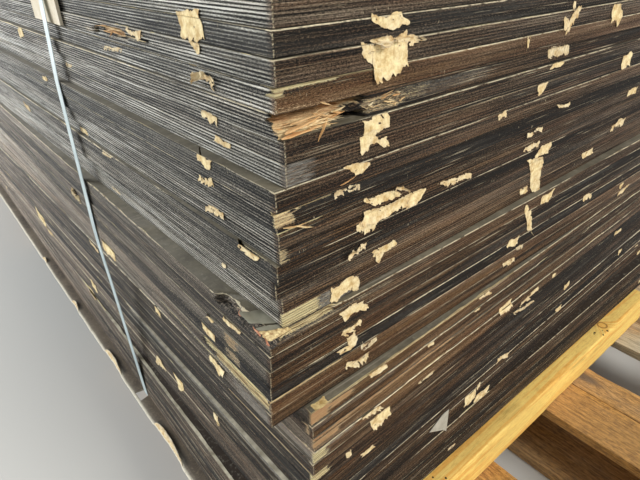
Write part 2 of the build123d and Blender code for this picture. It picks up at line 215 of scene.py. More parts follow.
class Graph:
    """Short ways to lay out one material's nodes."""

    def __init__(self, name):
        self.material = bpy.data.materials.new(name)
        self.material.use_nodes = True
        self.tree = self.material.node_tree
        self.shader = self.tree.nodes["Principled BSDF"]

    def join(self, source, target):
        """A link from a value to an input, or a plain number or colour set on the input."""
        if isinstance(source, Value):
            self.tree.links.new(source.socket, target)
        else:
            target.default_value = (*source, 1.0) if target.type == "RGBA" else source

    def add(self, kind, inputs, **settings):
        """A node of one kind, with its settings and what goes into it."""
        node = self.tree.nodes.new(kind)
        for key, value in settings.items():
            setattr(node, key, value)
        for key, source in inputs.items():
            self.join(source, node.inputs[key])
        return node

    def value(self, node, output=0):
        """One output of a node, by its name or its number."""
        return Value(self, node.outputs[output])

    def math(self, operation, a, b=0.0, clamp=False):
        """One arithmetic step."""
        return self.value(self.add("ShaderNodeMath", {0: a, 1: b}, operation=operation, use_clamp=clamp))

    def most(self, a, b):
        """The larger of two values."""
        return self.math("MAXIMUM", a, b)

    def coordinates(self, kind="Object"):
        """The surface's own coordinates."""
        return self.value(self.add("ShaderNodeTexCoord", {}), kind)

    def split(self, vector, kind="ShaderNodeSeparateXYZ"):
        """The three parts of a vector or colour."""
        node = self.add(kind, {0: vector})
        return [self.value(node, part) for part in range(3)]

    def vector(self, x, y):
        """A flat vector from its parts."""
        return self.value(self.add("ShaderNodeCombineXYZ", {0: x, 1: y}))

    def stretched(self, vector, scale):
        """Coordinates stretched by two or three numbers; a single scale is left to the texture."""
        if not isinstance(scale, tuple):
            return vector, scale
        inputs = {"Vector": vector, "Scale": (*scale, 1.0)[:3]}
        return self.value(self.add("ShaderNodeMapping", inputs)), 1.0

    def noise(self, vector, scale, detail=3.0, roughness=0.55, distortion=0.0):
        """Cloudy noise from 0 to 1."""
        vector, scale = self.stretched(vector, scale)
        inputs = {"Vector": vector, "Scale": scale, "Detail": detail}
        inputs |= {"Roughness": roughness, "Distortion": distortion}
        return self.value(self.add("ShaderNodeTexNoise", inputs), "Fac")

    def cells(self, vector, scale, randomness=1.0):
        """Distance to the nearest of scattered points, and a random number for that point."""
        vector, scale = self.stretched(vector, scale)
        inputs = {"Vector": vector, "Scale": scale, "Randomness": randomness}
        node = self.add("ShaderNodeTexVoronoi", inputs)
        number = self.split(self.value(node, "Color"), "ShaderNodeSeparateColor")[0]
        return self.value(node, "Distance"), number

    def window(self, value, low, high):
        """0 below low, 1 above high, even between."""
        inputs = {"Value": value, "From Min": low, "From Max": high}
        return self.value(self.add("ShaderNodeMapRange", inputs, clamp=True), "Result")

    def mix(self, share, a, b):
        """Two colours mixed by a share."""
        node = self.add("ShaderNodeMix", {"Factor": share, MIX_FIRST: a, MIX_SECOND: b}, data_type="RGBA")
        return self.value(node, MIX_RESULT)

    def over(self, colour, *layers):
        """A colour with others laid over it in turn, each by its own share."""
        for share, other in layers:
            colour = self.mix(share, colour, other)
        return colour

    def distance(self, x, y, z):
        """How far the surface is from a place in the row frame."""
        inputs = {0: self.coordinates(), 1: (x, y, z)}
        return self.value(self.add("ShaderNodeVectorMath", inputs, operation="DISTANCE"), "Value")

    def length(self, vector):
        """How long a vector is."""
        return self.value(self.add("ShaderNodeVectorMath", {0: vector}, operation="LENGTH"), "Value")

    def marks(self, name):
        """The three numbers stored on the mesh under one name, and the fourth."""
        node = self.add("ShaderNodeVertexColor", {}, layer_name=name)
        return *self.split(self.value(node, "Color"), "ShaderNodeSeparateColor"), self.value(node, "Alpha")

    def bump(self, height, strength, distance):
        """Fine relief on the shader's normal."""
        node = self.add("ShaderNodeBump", {"Strength": strength, "Distance": distance, "Height": height})
        self.join(self.value(node), self.shader.inputs["Normal"])

    def finish(self, colour, roughness, **sockets):
        """Colour, roughness and plain shader values."""
        for name, value in {"Base_Color": colour, "Roughness": roughness, **sockets}.items():
            self.join(value, self.shader.inputs[name.replace("_", " ")])
        return self.material


def tint(red, green, blue):
    """A colour given as it shows on screen, from 0 to 255, in the renderer's linear values."""
    shown = (red / 255, green / 255, blue / 255)
    return tuple(c / 12.92 if c <= 0.04045 else ((c + 0.055) / 1.055) ** 2.4 for c in shown)


def shaded(colour, factor, more=0.0):
    """A colour darkened or lightened by a factor."""
    return [min(c * factor + more, 1.0) for c in colour]


def marks_and_painted_glints(g, uv, sheet_plies, brown):
    """Where the paint of an edge has scratches and specks, and thin pale lines along the plies on rubbed
    stretches: partly rubbed paint, partly painted glints.
    """
    scratch = g.window(g.noise(uv, (520, 2.4), 2.0, 0.6), 0.66, 0.72)
    scratch = scratch * g.window(g.noise(uv, (15, 1.4), 2.0, 0.6), 0.56, 0.64)
    specks = g.window(g.noise(uv, (230, 60), 2.0, 0.6), 0.71, 0.75)
    contour = g.math("ABSOLUTE", g.noise(sheet_plies, (4.5, 0.6), 2.0, 0.5) - 0.5)
    rubbed = g.window(g.noise(sheet_plies, (7, 0.7), 4.0, 0.6), 0.6, 0.65)
    glint = g.window(contour, 0.04, 0.015) * rubbed * (brown * 0.6 + 0.4)
    return g.most(glint, g.most(scratch, specks))


def edge_wood(g, uv, sheet_plies, wave, lines, grit, fresh):
    """The wood under the paint: plies with their glue lines and cracks, redder where it is fresh."""
    grain = g.noise(uv, (46, 60), 4.0, 0.7)
    cracks = g.window(g.noise(sheet_plies, (34, 2.6), 4.0, 0.7), 0.52, 0.6)
    return g.over(
        g.mix(g.window(grain, 0.28, 0.52), tint(224, 184, 116), tint(255, 242, 188)),
        (g.window(wave, 0.1, -0.7) * g.window(lines, 0.36, 0.54) * 0.85, tint(92, 62, 38)),
        (cracks * 0.5, tint(96, 64, 38)),
        (fresh, g.mix(g.window(grain, 0.3, 0.66), tint(160, 94, 54), tint(236, 192, 140))),
        (g.window(grit, 0.42, 0.3) * 0.7, tint(70, 46, 32)),
    )


def edge_material():
    """Painted plywood edge: ply ridges and grooves, worn lines, bare and fresh wood where it is chipped, with
    painted shade in the grooves and between the sheets, and a painted highlight on the ridges.
    """
    g = Graph("painted_ply_edge")
    uv = g.coordinates("UV")
    u, v, _ = g.split(uv)
    bare, fresh, scuff_and_sheen, _ = g.marks("wear")
    brown, rib, dust, line = g.marks("tone")
    share = g.math("FRACT", v)
    wobble = g.noise(uv, (9, 7), 3.0, 0.6)
    ply = v * float(PLIES) + wobble * 1.1
    wave = g.math("COSINE", (ply - 1.05) * math.pi)
    sheet_plies = g.vector(u, ply)
    broad = g.noise(uv, (2.6, 0.9), 4.0, 0.6)
    band = g.noise(sheet_plies, (7, 0.8), 3.0, 0.6)
    lines = g.noise(sheet_plies, (24, 3.2), 4.0, 0.7)
    mottle = g.noise(sheet_plies, (380, 1.7), 5.0, 0.75)
    grit = g.noise(sheet_plies, (900, 3.4), 3.0, 0.75)
    stripe = g.noise(uv, (3.2, 3.4), 4.0, 0.65)
    # Ply ridges are lighter and grooves darker: partly the plies' own paint, partly a painted highlight on
    # the ridges.
    value = 0.17 - brown * 0.13 + rib * wave * 0.29
    ribbed = rib + 0.35
    parts = (
        (band, ribbed * 0.8), (lines, ribbed * 1.1), (mottle, 1.5),
        (grit, 1.1), (broad, 0.7), (stripe, 0.65),
    )
    for part, weight in parts:
        value = value + (part - 0.5) * weight
    value = value + scuff_and_sheen * 0.42
    # A less brown edge gets cool grey colours, which partly stand for a painted sheen.
    dark = g.mix(brown, tint(9, 9, 8), tint(12, 8, 5))
    light = g.mix(brown, tint(178, 173, 158), tint(152, 111, 68))
    redder = brown * g.window(g.noise(uv, (5, 2.3), 3.0, 0.6), 0.45, 0.62)
    light = g.mix(redder * 0.7, light, tint(140, 94, 62))
    shade = g.window(value, 0.26, 0.68)
    colour = g.mix(shade, dark, light)
    # The brightest places turn pale: worn paint together with a painted highlight on the ridges, white-grey
    # where the edge is less brown.
    worn = g.window(value, 0.66, 0.90)
    colour = g.mix(worn * 0.85, colour, g.mix(brown, tint(214, 212, 202), tint(226, 200, 156)))
    # Grooves between the ply ridges and a band at the foot of each sheet's edge are painted near black:
    # painted shade in the recesses and between the sheets.
    crisp = g.window(g.noise(sheet_plies, (10, 0.6), 3.0, 0.6), 0.42, 0.56)
    painted_groove_shade = g.math("ADD", rib * 0.9, 0.15, clamp=True) * g.window(wave, -0.55, -0.93) * crisp
    low_seam = 1.0 - g.window(share, 0.012, 0.06)
    seam_noise = g.window(g.noise(uv, (4, 1.1), 3.0, 0.6), 0.34, 0.5)
    painted_seam_shade = low_seam * (seam_noise * 0.75 + 0.25)
    painted_shade = g.most(painted_groove_shade, painted_seam_shade)
    colour = g.mix(painted_shade * 0.96, colour, tint(6, 5, 5))
    dusty = dust * g.window(g.noise(uv, (120, 14), 4.0, 0.7), 0.35, 0.65)
    colour = g.mix(dusty * 0.75, colour, tint(176, 172, 162))
    colour = g.mix(marks_and_painted_glints(g, uv, sheet_plies, brown) * 0.85, colour, tint(222, 208, 176))
    wood = edge_wood(g, uv, sheet_plies, wave, lines, grit, fresh)
    edge_noise = g.noise(uv, (60, 3), 5.0, 0.75)
    dashes = g.noise(uv, (30, 9), 4.0, 0.7)
    rim = 0.985 - line * 0.045
    at_rim = g.window(share - rim, 0.0, 0.012)
    edge_line = g.window(line, 0.05, 0.5) * at_rim * g.window(edge_noise, 0.4, 0.5)
    upright = g.window(u, 0.0018, 0.0008) * g.window(u, 0.0, 0.0002) * g.window(dashes, 0.46, 0.56)
    edge_line = g.most(edge_line, upright * 0.7)
    frayed = mottle + lines - 1.0
    ragged = g.most(bare, fresh * 0.9) + frayed * 1.25
    torn = g.window(ragged, 0.44, 0.6)
    chipped = g.most(torn, edge_line)
    wood = g.mix(1.0 - torn, wood, tint(240, 226, 192))
    colour = g.mix(chipped, colour, wood)
    height = shade * 0.9 + grit * 0.5 - painted_shade * 1.2
    g.bump(height, 0.9, 0.0010)
    dull = g.most(1.0 - shade, chipped)
    roughness = grit * 0.26 + dull * 0.45 + 0.22
    return g.finish(colour, roughness, Specular_IOR_Level=0.24)


def film_material(name, dark, light, shine=0.45):
    """Phenolic film face of a sheet: smooth, dusty and scratched."""
    g = Graph(name)
    place = g.coordinates("Object")
    cloudy = g.noise(place, 4.0, 6.0, 0.62, 0.6)
    speckle = g.noise(place, 160.0, 4.0, 0.7)
    scratches = g.noise(place, (3, 190), 3.0, 0.6, 0.5)
    long_scratches = g.noise(place, (220, 2.4), 3.0, 0.6, 0.4)
    rings, which = g.cells(place, 3.1)
    patchy = cloudy * 0.45 + g.noise(place, 36.0, 5.0, 0.7) * 0.55
    colour = g.mix(g.window(patchy, 0.34, 0.66), dark, light)
    colour = g.over(
        colour,
        (g.window(speckle, 0.56, 0.7) * 0.4, tint(142, 137, 122)),
        (g.window(scratches, 0.63, 0.7) * 0.45, tint(158, 150, 136)),
        (g.window(long_scratches, 0.64, 0.71) * 0.4, tint(60, 53, 46)),
    )
    stain = g.window(rings, 0.3, 0.26) * g.window(which, 0.72, 0.75) * g.window(cloudy, 0.4, 0.6)
    colour = g.mix(stain * 0.45, colour, tint(170, 166, 154))
    g.bump(speckle + scratches, 0.2, 0.0004)
    return g.finish(colour, cloudy * 0.25 + 0.47, Specular_IOR_Level=shine)


def timber_material(name, light, dark, aged, figure, rough, knots=(), holes=()):
    """Sawn timber: grain and knots along the surface coordinates, with grime, weathering and painted shade.

    Knots and holes are places in the row frame with a radius, for those that the photo shows.
    """
    g = Graph(name)
    uv = g.coordinates("UV")
    u, v, _ = g.split(uv)
    shade, grime, pale, _ = g.marks("wear")
    knot, which = g.cells(uv, (4.2, 13.0), 0.9)
    chosen = g.window(which, 0.70, 0.72)
    near = g.window(knot, 0.42, 0.0) * chosen
    seen = [(g.distance(*place), radius) for *place, radius in knots]
    for away, radius in seen:
        near = g.most(near, g.window(away, radius * 5, 0.0))
    pushed = g.vector(u, v + near * near * 0.035)
    growth = g.noise(pushed, (0.9, 44), 3.0, 0.5, 0.25)
    wave = g.math("SINE", growth * 40.0)
    fibres = g.noise(pushed, (16, 260), 5.0, 0.85)
    speckle = g.noise(uv, (420, 900), 3.0, 0.7)
    fuzz = g.noise(uv, (60, 190), 4.0, 0.75)
    saw = g.noise(uv, (240, 9), 2.0, 0.5)
    broad = g.noise(uv, (3.1, 8), 4.0, 0.6)
    colour = g.mix(g.window(wave, -0.3, 0.95) * figure, light, dark)
    colour = g.mix(g.window(fibres, 0.5, 0.62) * (0.7 * rough), colour, shaded(dark, 0.45))
    worn = g.window(fibres, 0.47, 0.36) * g.window(speckle, 0.4, 0.6)
    colour = g.over(
        colour,
        (worn * (0.8 * rough), shaded(light, 1.5, 0.05)),
        (g.window(speckle, 0.54, 0.68) * (0.55 * rough), shaded(dark, 0.4)),
        (g.window(speckle, 0.44, 0.3) * 0.35, shaded(light, 1.25)),
        (g.window(fuzz, 0.51, 0.6) * (0.7 * rough), shaded(dark, 0.5)),
        (g.window(fuzz, 0.46, 0.38) * (0.6 * rough), shaded(light, 1.3, 0.03)),
        (g.window(broad, 0.48, 0.72) * 0.45, shaded(light, 0.62)),
    )
    heart = g.window(knot, 0.155, 0.11) * chosen
    colour = g.over(
        colour,
        (g.window(knot, 0.23, 0.15) * chosen * 0.7, shaded(dark, 0.45)),
        (heart, tint(92, 58, 34)),
        (g.window(shade, 0.0, 1.0) * 0.55, shaded(dark, 0.42)),
    )
    grey = g.mix(g.window(fibres, 0.4, 0.62), aged, shaded(aged, 0.5))
    colour = g.over(
        colour,
        (pale * g.window(broad, 0.25, 0.55), grey),
        (grime * g.window(fibres, 0.3, 0.62), tint(50, 38, 28)),
    )
    for away, radius in seen:
        ring = g.window(away, radius * 1.2, radius) * g.window(away, radius * 0.7, radius * 0.9)
        colour = g.over(
            colour,
            (g.window(away, radius * 1.6, radius) * 0.35, dark),
            (ring * 0.75, tint(120, 78, 38)),
        )
    for *place, radius in holes:
        colour = g.mix(g.window(g.distance(*place), radius, radius * 0.6), colour, tint(34, 24, 17))
    g.bump(fibres + speckle * 0.6 + saw * 0.35 + fuzz * (0.8 * rough), 0.6, 0.0009)
    return g.finish(colour, fibres * 0.2 + 0.64, Specular_IOR_Level=0.25)


def end_grain_material(name, light, dark):
    """Sawn end of a timber, with growth rings round a pith at the coordinates' zero."""
    g = Graph(name)
    uv = g.coordinates("UV")
    shaken = g.noise(uv, (18, 18), 3.0, 0.5)
    radius = g.length(uv) + shaken * 0.006
    rings = g.math("SINE", radius * 1500.0)
    pores = g.noise(uv, (700, 700), 3.0, 0.7)
    colour = g.mix(g.window(rings, -0.3, 0.9), light, dark)
    colour = g.mix(g.window(pores, 0.5, 0.7) * 0.5, colour, shaded(dark, 0.5))
    g.bump(pores + rings * 0.4, 0.5, 0.0007)
    return g.finish(colour, 0.8, Specular_IOR_Level=0.25)


def residue_material():
    """Torn remains of brown board glued to the edges: fibrous, paler where a layer is gone."""
    g = Graph("torn_cardboard")
    place = g.coordinates("Object")
    white, orange, thin, _ = g.marks("wear")
    fibres = g.noise(place, (500, 500, 260), 4.0, 0.7)
    blotches = g.noise(place, 110.0, 5.0, 0.7)
    colour = g.mix(g.window(blotches, 0.36, 0.62), tint(190, 156, 96), tint(250, 230, 168))
    colour = g.over(
        colour,
        (g.window(fibres, 0.5, 0.72) * 0.4, tint(176, 140, 90)),
        (white * g.window(blotches, 0.25, 0.6), tint(222, 214, 196)),
        (orange, tint(204, 144, 92)),
        (thin * g.window(fibres, 0.35, 0.6) * 0.8, tint(126, 108, 86)),
    )
    g.bump(fibres + blotches, 0.5, 0.0005)
    return g.finish(colour, 0.85, Specular_IOR_Level=0.2)


def simple_material(name, light, dark, scale, roughness, bump=0.0, **sockets):
    """A surface that varies gently between two colours."""
    g = Graph(name)
    cloudy = g.noise(g.coordinates("Object"), scale, 4.0, 0.6)
    if bump:
        g.bump(cloudy, bump, 0.0006)
    return g.finish(g.mix(g.window(cloudy, 0.3, 0.7), dark, light), roughness, **sockets)


def strap_material():
    """Pale plastic band with fine pressed ribs, dulled by dust."""
    g = Graph("strap_band")
    place = g.coordinates("Object")
    rows = g.math("SINE", g.split(place)[1] * (TURN / (1.6 * MM)))
    steps = g.math("SINE", g.split(place)[2] * (TURN / (2.2 * MM)))
    pattern = rows * steps
    dust = g.noise(place, 22.0, 4.0, 0.6)
    colour = g.mix(g.window(dust, 0.35, 0.7), tint(160, 176, 178), tint(196, 209, 208))
    colour = g.mix(g.window(pattern, 0.1, 0.8) * 0.25, colour, tint(138, 154, 158))
    g.bump(pattern, 0.35, 0.0004)
    return g.finish(colour, 0.34, Specular_IOR_Level=0.5)


def laminate_material():
    """Edge protector of pressed paper layers, pale, with layer lines along its cut edges."""
    g = Graph("paper_laminate")
    place = g.coordinates("Object")
    layers = g.math("SINE", g.split(place)[0] * (TURN / (0.55 * MM)))
    fibres = g.noise(place, 420.0, 4.0, 0.65)
    stains = g.noise(place, 26.0, 4.0, 0.6)
    colour = g.mix(g.window(stains, 0.35, 0.7), tint(214, 204, 182), tint(196, 180, 150))
    colour = g.mix(g.window(fibres, 0.5, 0.7) * 0.35, colour, tint(176, 158, 128))
    g.bump(fibres + layers * 0.15, 0.3, 0.0004)
    return g.finish(colour, 0.75, Specular_IOR_Level=0.3)


EDGE = edge_material()
FILM = film_material("film_face", tint(62, 56, 44), tint(114, 107, 89), 0.32)
DARK_FILM = film_material("dark_film_face", tint(26, 19, 13), tint(52, 41, 30), 0.12)
PALE_FILM = film_material("dusty_film_face", tint(112, 106, 93), tint(166, 161, 147), 0.32)
FILM_FACES = {36: DARK_FILM, 31: PALE_FILM, 27: PALE_FILM}
RESIDUE = residue_material()
# Knot and dark holes of the front bearer's upper face: mm from its right end, from its front and radius
BEARER_KNOTS = [(194, 19, 10)]
BEARER_HOLES = [
    (204, 3, 3.2), (224, 2.5, 2.6), (231, 18, 3.0), (236, 17, 2.2), (212, 10, 1.6), (783, 33, 3.0),
    (753, 8, 2.4), (768, 22, 2.0),
]
bearer_low, bearer_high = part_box("bearer_1")


def on_bearer(rows):
    """The rows' places on the front bearer's upper face, in the row frame."""
    return [(bearer_high[0] - x * MM, bearer_low[1] + y * MM, bearer_high[2], r * MM) for x, y, r in rows]


BEARER_COLOURS = (tint(255, 218, 124), tint(242, 172, 76), tint(206, 186, 148))
FRONT_BEARER_SIDE = timber_material(
    "front_bearer_timber", *BEARER_COLOURS, 0.75, 0.3, on_bearer(BEARER_KNOTS), on_bearer(BEARER_HOLES),
)
BEARER_SIDE = timber_material("bearer_timber", *BEARER_COLOURS, 0.6, 0.3)
BEARER_END = end_grain_material("bearer_end_grain", tint(214, 170, 104), tint(150, 100, 56))
PALLET_COLOURS = (tint(224, 166, 82), tint(164, 106, 46), tint(214, 204, 180))
PALLET_SIDE = timber_material("pallet_timber", *PALLET_COLOURS, 0.35, 1.0)
PALLET_END = end_grain_material("pallet_end_grain", tint(148, 116, 74), tint(88, 62, 38))
STRAP = strap_material()
LAMINATE = laminate_material()
SEAL = simple_material("zinc_seal", tint(176, 178, 176), tint(120, 121, 120), 300.0, 0.38, 0.2, Metallic=0.9)
NAIL = simple_material("nail_heads", tint(120, 100, 82), tint(62, 48, 40), 900.0, 0.6, 0.3, Metallic=0.6)

# How the painted edges look: last sheet of each range, strength of the ribs, and brownness
FRONT_LOOK = [
    (4, 0.22, 0.60), (5, 0.05, 0.85), (6, 0.22, 0.85), (8, 0.26, 0.7), (12, 0.22, 0.85),
    (17, 0.30, 0.85), (22, 0.12, 0.95), (30, 0.26, 0.95), (40, 0.22, 0.9),
]
# The left faces are less brown, so greyer and cooler than the front: partly their paint, partly a painted
# cool sheen.
LEFT_LOOK = [
    (8, 1.0, 0.05), (9, 0.55, 0.1), (12, 0.95, 0.05), (13, 0.55, 0.15), (16, 0.9, 0.1),
    (22, 0.32, 0.4), (30, 0.22, 0.55), (40, 0.20, 0.6),
]
# Front edges that are rubbed lighter: how much, and how far from the near corner
RUBBED = dict.fromkeys(range(1, 5), (0.14, 2.0)) | dict.fromkeys(range(23, 31), (0.36, 0.34))
RUBBED |= {5: (0.55, 2.0), 9: (0.3, 2.0), 18: (0.34, 0.4), 21: (0.36, 0.4)}
FRONT_RUBBED = {(number, "front"): rub for number, rub in RUBBED.items()}
# The left edges are lighter away from the near corner: dust together with a painted sheen
LEFT_DUST_AND_SHEEN = 0.36
# Sheets whose upper edge is worn to a pale line
FRONT_LINES = (
    3, 4, 5, 7, 9, 10, 12, 13, 14, 17, 18, 20, 21, 22, 23, 24, 26, 27, 28, 30, 31, 32, 33, 34, 36, 38, 39,
)
LEFT_LINES = (6, 10, 13, 17, 24, 27, 31, 34, 36)

# Places where an edge is torn, bare or dusty: sheet, side, start and end along it in mm, low and high
# shares of its thickness, depth in mm, and how bare, fresh and dusty it is
MARKS = [
    (4, "left", 256, 352, 0.16, 0.66, 5.0, 0.1, 0.0, 0.0),
    (4, "left", 268, 330, 0.30, 0.80, 3.0, 0.50, 0.8, 0.0),
    (4, "left", 200, 268, 0.42, 0.54, 9.0, 0.0, 0.2, 0.0),
    (4, "left", 345, 384, 0.15, 0.50, 0.0, 0.34, 0.45, 0.0),
    (5, "front", 0, 60, 0.88, 1.0, 1.6, 0.95, 0.0, 0.0),
    (5, "front", 0, 11, 0.62, 1.0, 1.0, 0.8, 0.1, 0.0),
    (5, "left", 0, 7, 0.62, 1.0, 1.2, 0.8, 0.0, 0.0),
    (5, "front", 50, 135, 0.93, 1.0, 0.6, 0.75, 0.0, 0.0),
    (6, "front", 0, 86, 0.60, 1.0, 17.0, 0.9, 0.8, 0.0),
    (6, "front", 0, 66, 0.32, 0.64, 9.0, 1.0, 0.6, 0.0),
    (6, "front", 0, 50, 0.0, 0.34, 3.0, 1.0, 0.25, 0.0),
    (6, "left", 0, 9, 0.50, 1.0, 2.0, 0.5, 0.5, 0.0),
    (6, "left", 0, 6, 0.10, 0.60, 1.0, 0.6, 0.6, 0.0),
    (6, "front", 52, 84, 0.0, 0.40, 16.0, 0.0, 0.0, 0.0),
    (6, "front", 80, 132, 0.08, 0.80, 1.6, 0.50, 0.40, 0.1),
    (6, "front", 118, 166, 0.20, 0.95, 1.0, 0.40, 0.12, 0.2),
    (6, "front", 150, 255, 0.25, 0.85, 0.7, 0.30, 0.1, 0.35),
    (8, "front", 0, 24, 0.0, 1.0, 0.3, 0.0, 0.0, 1.0),
    (10, "front", 0, 20, 0.20, 1.0, 1.6, 0.62, 0.35, 0.0),
    (10, "front", 0, 60, 0.84, 1.0, 2.6, 0.85, 0.15, 0.0),
    (11, "front", 0, 46, 0.82, 1.0, 1.2, 1.0, 0.0, 0.0),
    (12, "front", 0, 8, 0.10, 1.0, 0.8, 0.6, 0.3, 0.0),
    (12, "front", 5, 60, 0.25, 0.70, 0.4, 0.26, 0.2, 0.15),
    (13, "front", 0, 50, 0.30, 0.60, 0.3, 0.28, 0.2, 0.1),
    (15, "front", 0, 42, 0.65, 0.95, 0.5, 0.34, 0.1, 0.3),
    (16, "front", 0, 44, 0.05, 0.95, 1.1, 0.78, 0.0, 0.0),
    (16, "front", 38, 84, 0.05, 0.95, 0.5, 0.36, 0.0, 1.0),
    (17, "left", 0, 92, 0.46, 1.0, 10.0, 0.25, 0.3, 0.0),
    (17, "left", 8, 50, 0.40, 0.60, 1.5, 0.3, 0.3, 0.0),
    (17, "front", 0, 76, 0.78, 1.0, 4.5, 0.85, 0.12, 0.0),
    (17, "front", 0, 160, 0.45, 0.80, 0.5, 0.40, 0.1, 0.3),
    (19, "left", 54, 84, 0.05, 0.95, 0.8, 0.52, 0.6, 0.1),
    (20, "left", 52, 82, 0.15, 0.9, 0.9, 0.40, 0.55, 0.1),
    (21, "left", 4, 128, 0.40, 1.0, 3.2, 0.86, 0.0, 0.2),
    (21, "left", 2, 104, 0.08, 0.50, 1.6, 0.72, 0.15, 0.0),
    (22, "left", 0, 64, 0.10, 0.90, 0.3, 0.25, 0.0, 0.9),
    (22, "left", 100, 250, 0.82, 1.0, 0.8, 0.6, 0.0, 0.2),
    (21, "front", 0, 90, 0.80, 1.0, 1.4, 0.85, 0.5, 0.0),
    (23, "front", 0, 26, 0.05, 0.95, 0.9, 0.72, 0.9, 0.0),
    (23, "front", 22, 60, 0.30, 0.80, 0.5, 0.26, 0.8, 0.0),
    (23, "front", 0, 380, 0.88, 1.0, 0.8, 0.8, 0.1, 0.0),
    (24, "front", 0, 130, 0.60, 0.90, 0.4, 0.28, 0.2, 0.4),
    (24, "left", 0, 14, 0.05, 0.95, 0.5, 0.5, 0.7, 0.0),
    (25, "front", 0, 240, 0.88, 1.0, 0.7, 0.70, 0.8, 0.0),
    (25, "front", 0, 40, 0.30, 0.75, 0.5, 0.26, 0.8, 0.0),
    (26, "front", 0, 22, 0.05, 0.95, 0.8, 0.75, 0.0, 1.0),
    (26, "front", 18, 60, 0.70, 1.0, 0.5, 0.40, 0.0, 1.0),
    (26, "left", 0, 110, 0.30, 0.90, 0.3, 0.20, 0.0, 0.8),
    (28, "front", 0, 24, 0.25, 1.0, 0.9, 1.0, 0.1, 0.0),
    (28, "left", 0, 170, 0.88, 1.0, 1.0, 0.75, 0.35, 0.0),
    (30, "front", 40, 330, 0.86, 1.0, 0.7, 0.75, 0.1, 0.0),
    (31, "left", 20, 500, 0.55, 1.0, 0.5, 0.15, 0.0, 1.0),
    (36, "left", 20, 1190, 0.74, 1.0, 0.9, 0.30, 0.0, 1.0),
    (36, "left", 40, 1190, 0.90, 1.0, 0.9, 0.9, 0.0, 0.4),
]
# The marks' softness along an edge and up it
MARK_SOFT = 4 * MM
MARK_SOFT_SHARE = 0.035

# Edge columns: how far they reach and how far apart they stand on each side, from the near or left end
COLUMN_STEPS = {
    "front": [(0.45, 5 * MM), (1.30, 14 * MM)],
    "right": [(2.60, 36 * MM)],
    "rear": [(1.30, 36 * MM)],
    "left": [(0.70, 8 * MM), (1.50, 18 * MM), (2.60, 40 * MM)],
}
# Sheets with torn places have closer columns there, and these beyond them
FRONT_BEYOND = [(0.45, 5 * MM), (1.30, 10 * MM)]
LEFT_BEYOND = [(0.70, 6 * MM), (1.50, 14 * MM), (2.60, 30 * MM)]
FINE_COLUMNS = {
    (4, "left"): [(0.19, 6 * MM), (0.39, 2 * MM)] + LEFT_BEYOND[1:],
    (5, "front"): [(0.11, 2.5 * MM)] + FRONT_BEYOND,
    (6, "front"): [(0.17, 1.6 * MM)] + FRONT_BEYOND,
    (6, "left"): [(0.05, 2 * MM)] + LEFT_BEYOND,
    (10, "front"): [(0.07, 2 * MM)] + FRONT_BEYOND,
    (16, "front"): [(0.09, 2.5 * MM)] + FRONT_BEYOND,
    (17, "front"): [(0.10, 2 * MM)] + FRONT_BEYOND,
    (17, "left"): [(0.11, 2 * MM)] + LEFT_BEYOND,
    (21, "left"): [(0.14, 2.5 * MM)] + LEFT_BEYOND,
}
LEVELS = np.array([0.0] + [(k + 0.5) / PLIES for k in range(PLIES)] + [1.0])
BEFORE = {"front": "left", "right": "front", "rear": "right", "left": "rear"}
# Over these angles between faces, in degrees, an edge stays sharp
SHEET_SHARP_OVER = 72
SHARP_OVER = 50
# Keeps a sheet's surface coordinates below those of the next
BELOW_ONE = 0.9999
# Depths of the wear on an edge: arris, chips at the upper arris and below it, and nicks at the lower one
ARRIS_WORN = 0.45 * MM
ARRIS_UNEVEN = 0.6 * MM
CHIP_DEEP = 1.3 * MM
CHIP_BELOW = 0.7 * MM
NICK_DEEP = 1.1 * MM


def stepped(rows, length, spare=0.5):
    """Places along a length, in steps, up to the end or the spare share of a step before it."""
    places = []
    at = 0.0
    for reach, step in rows:
        while at < min(reach, length - step * spare):
            places.append(at)
            at += step
    return np.array(places)


def look(number, side):
    """Rib strength and brownness of one sheet's edge on one side."""
    table = FRONT_LOOK if side in ("front", "rear") else LEFT_LOOK
    return next((rib, brown) for last, rib, brown in table if number <= last)


def mark_inside(mark, run, rows, seed):
    """How far each place on an edge lies inside one mark with soft and ragged ends, from 0 to 1."""
    start, end, low, high, deep = mark[2:7]
    start, end = start * MM, end * MM
    at = run + (layered_noise(run * 130, rows * 1.9, seed + deep) - 0.5) * 4 * MARK_SOFT
    inside = 1 - rise(at, end - MARK_SOFT, end + MARK_SOFT)
    if start > 0:
        inside = inside * rise(at, start - MARK_SOFT, start + MARK_SOFT)
    level = LEVELS[:, None]
    if low > 0:
        inside = inside * rise(level, low - MARK_SOFT_SHARE, low + MARK_SOFT_SHARE)
    if high < 1:
        inside = inside * (1 - rise(level, high - MARK_SOFT_SHARE, high + MARK_SOFT_SHARE))
    return inside


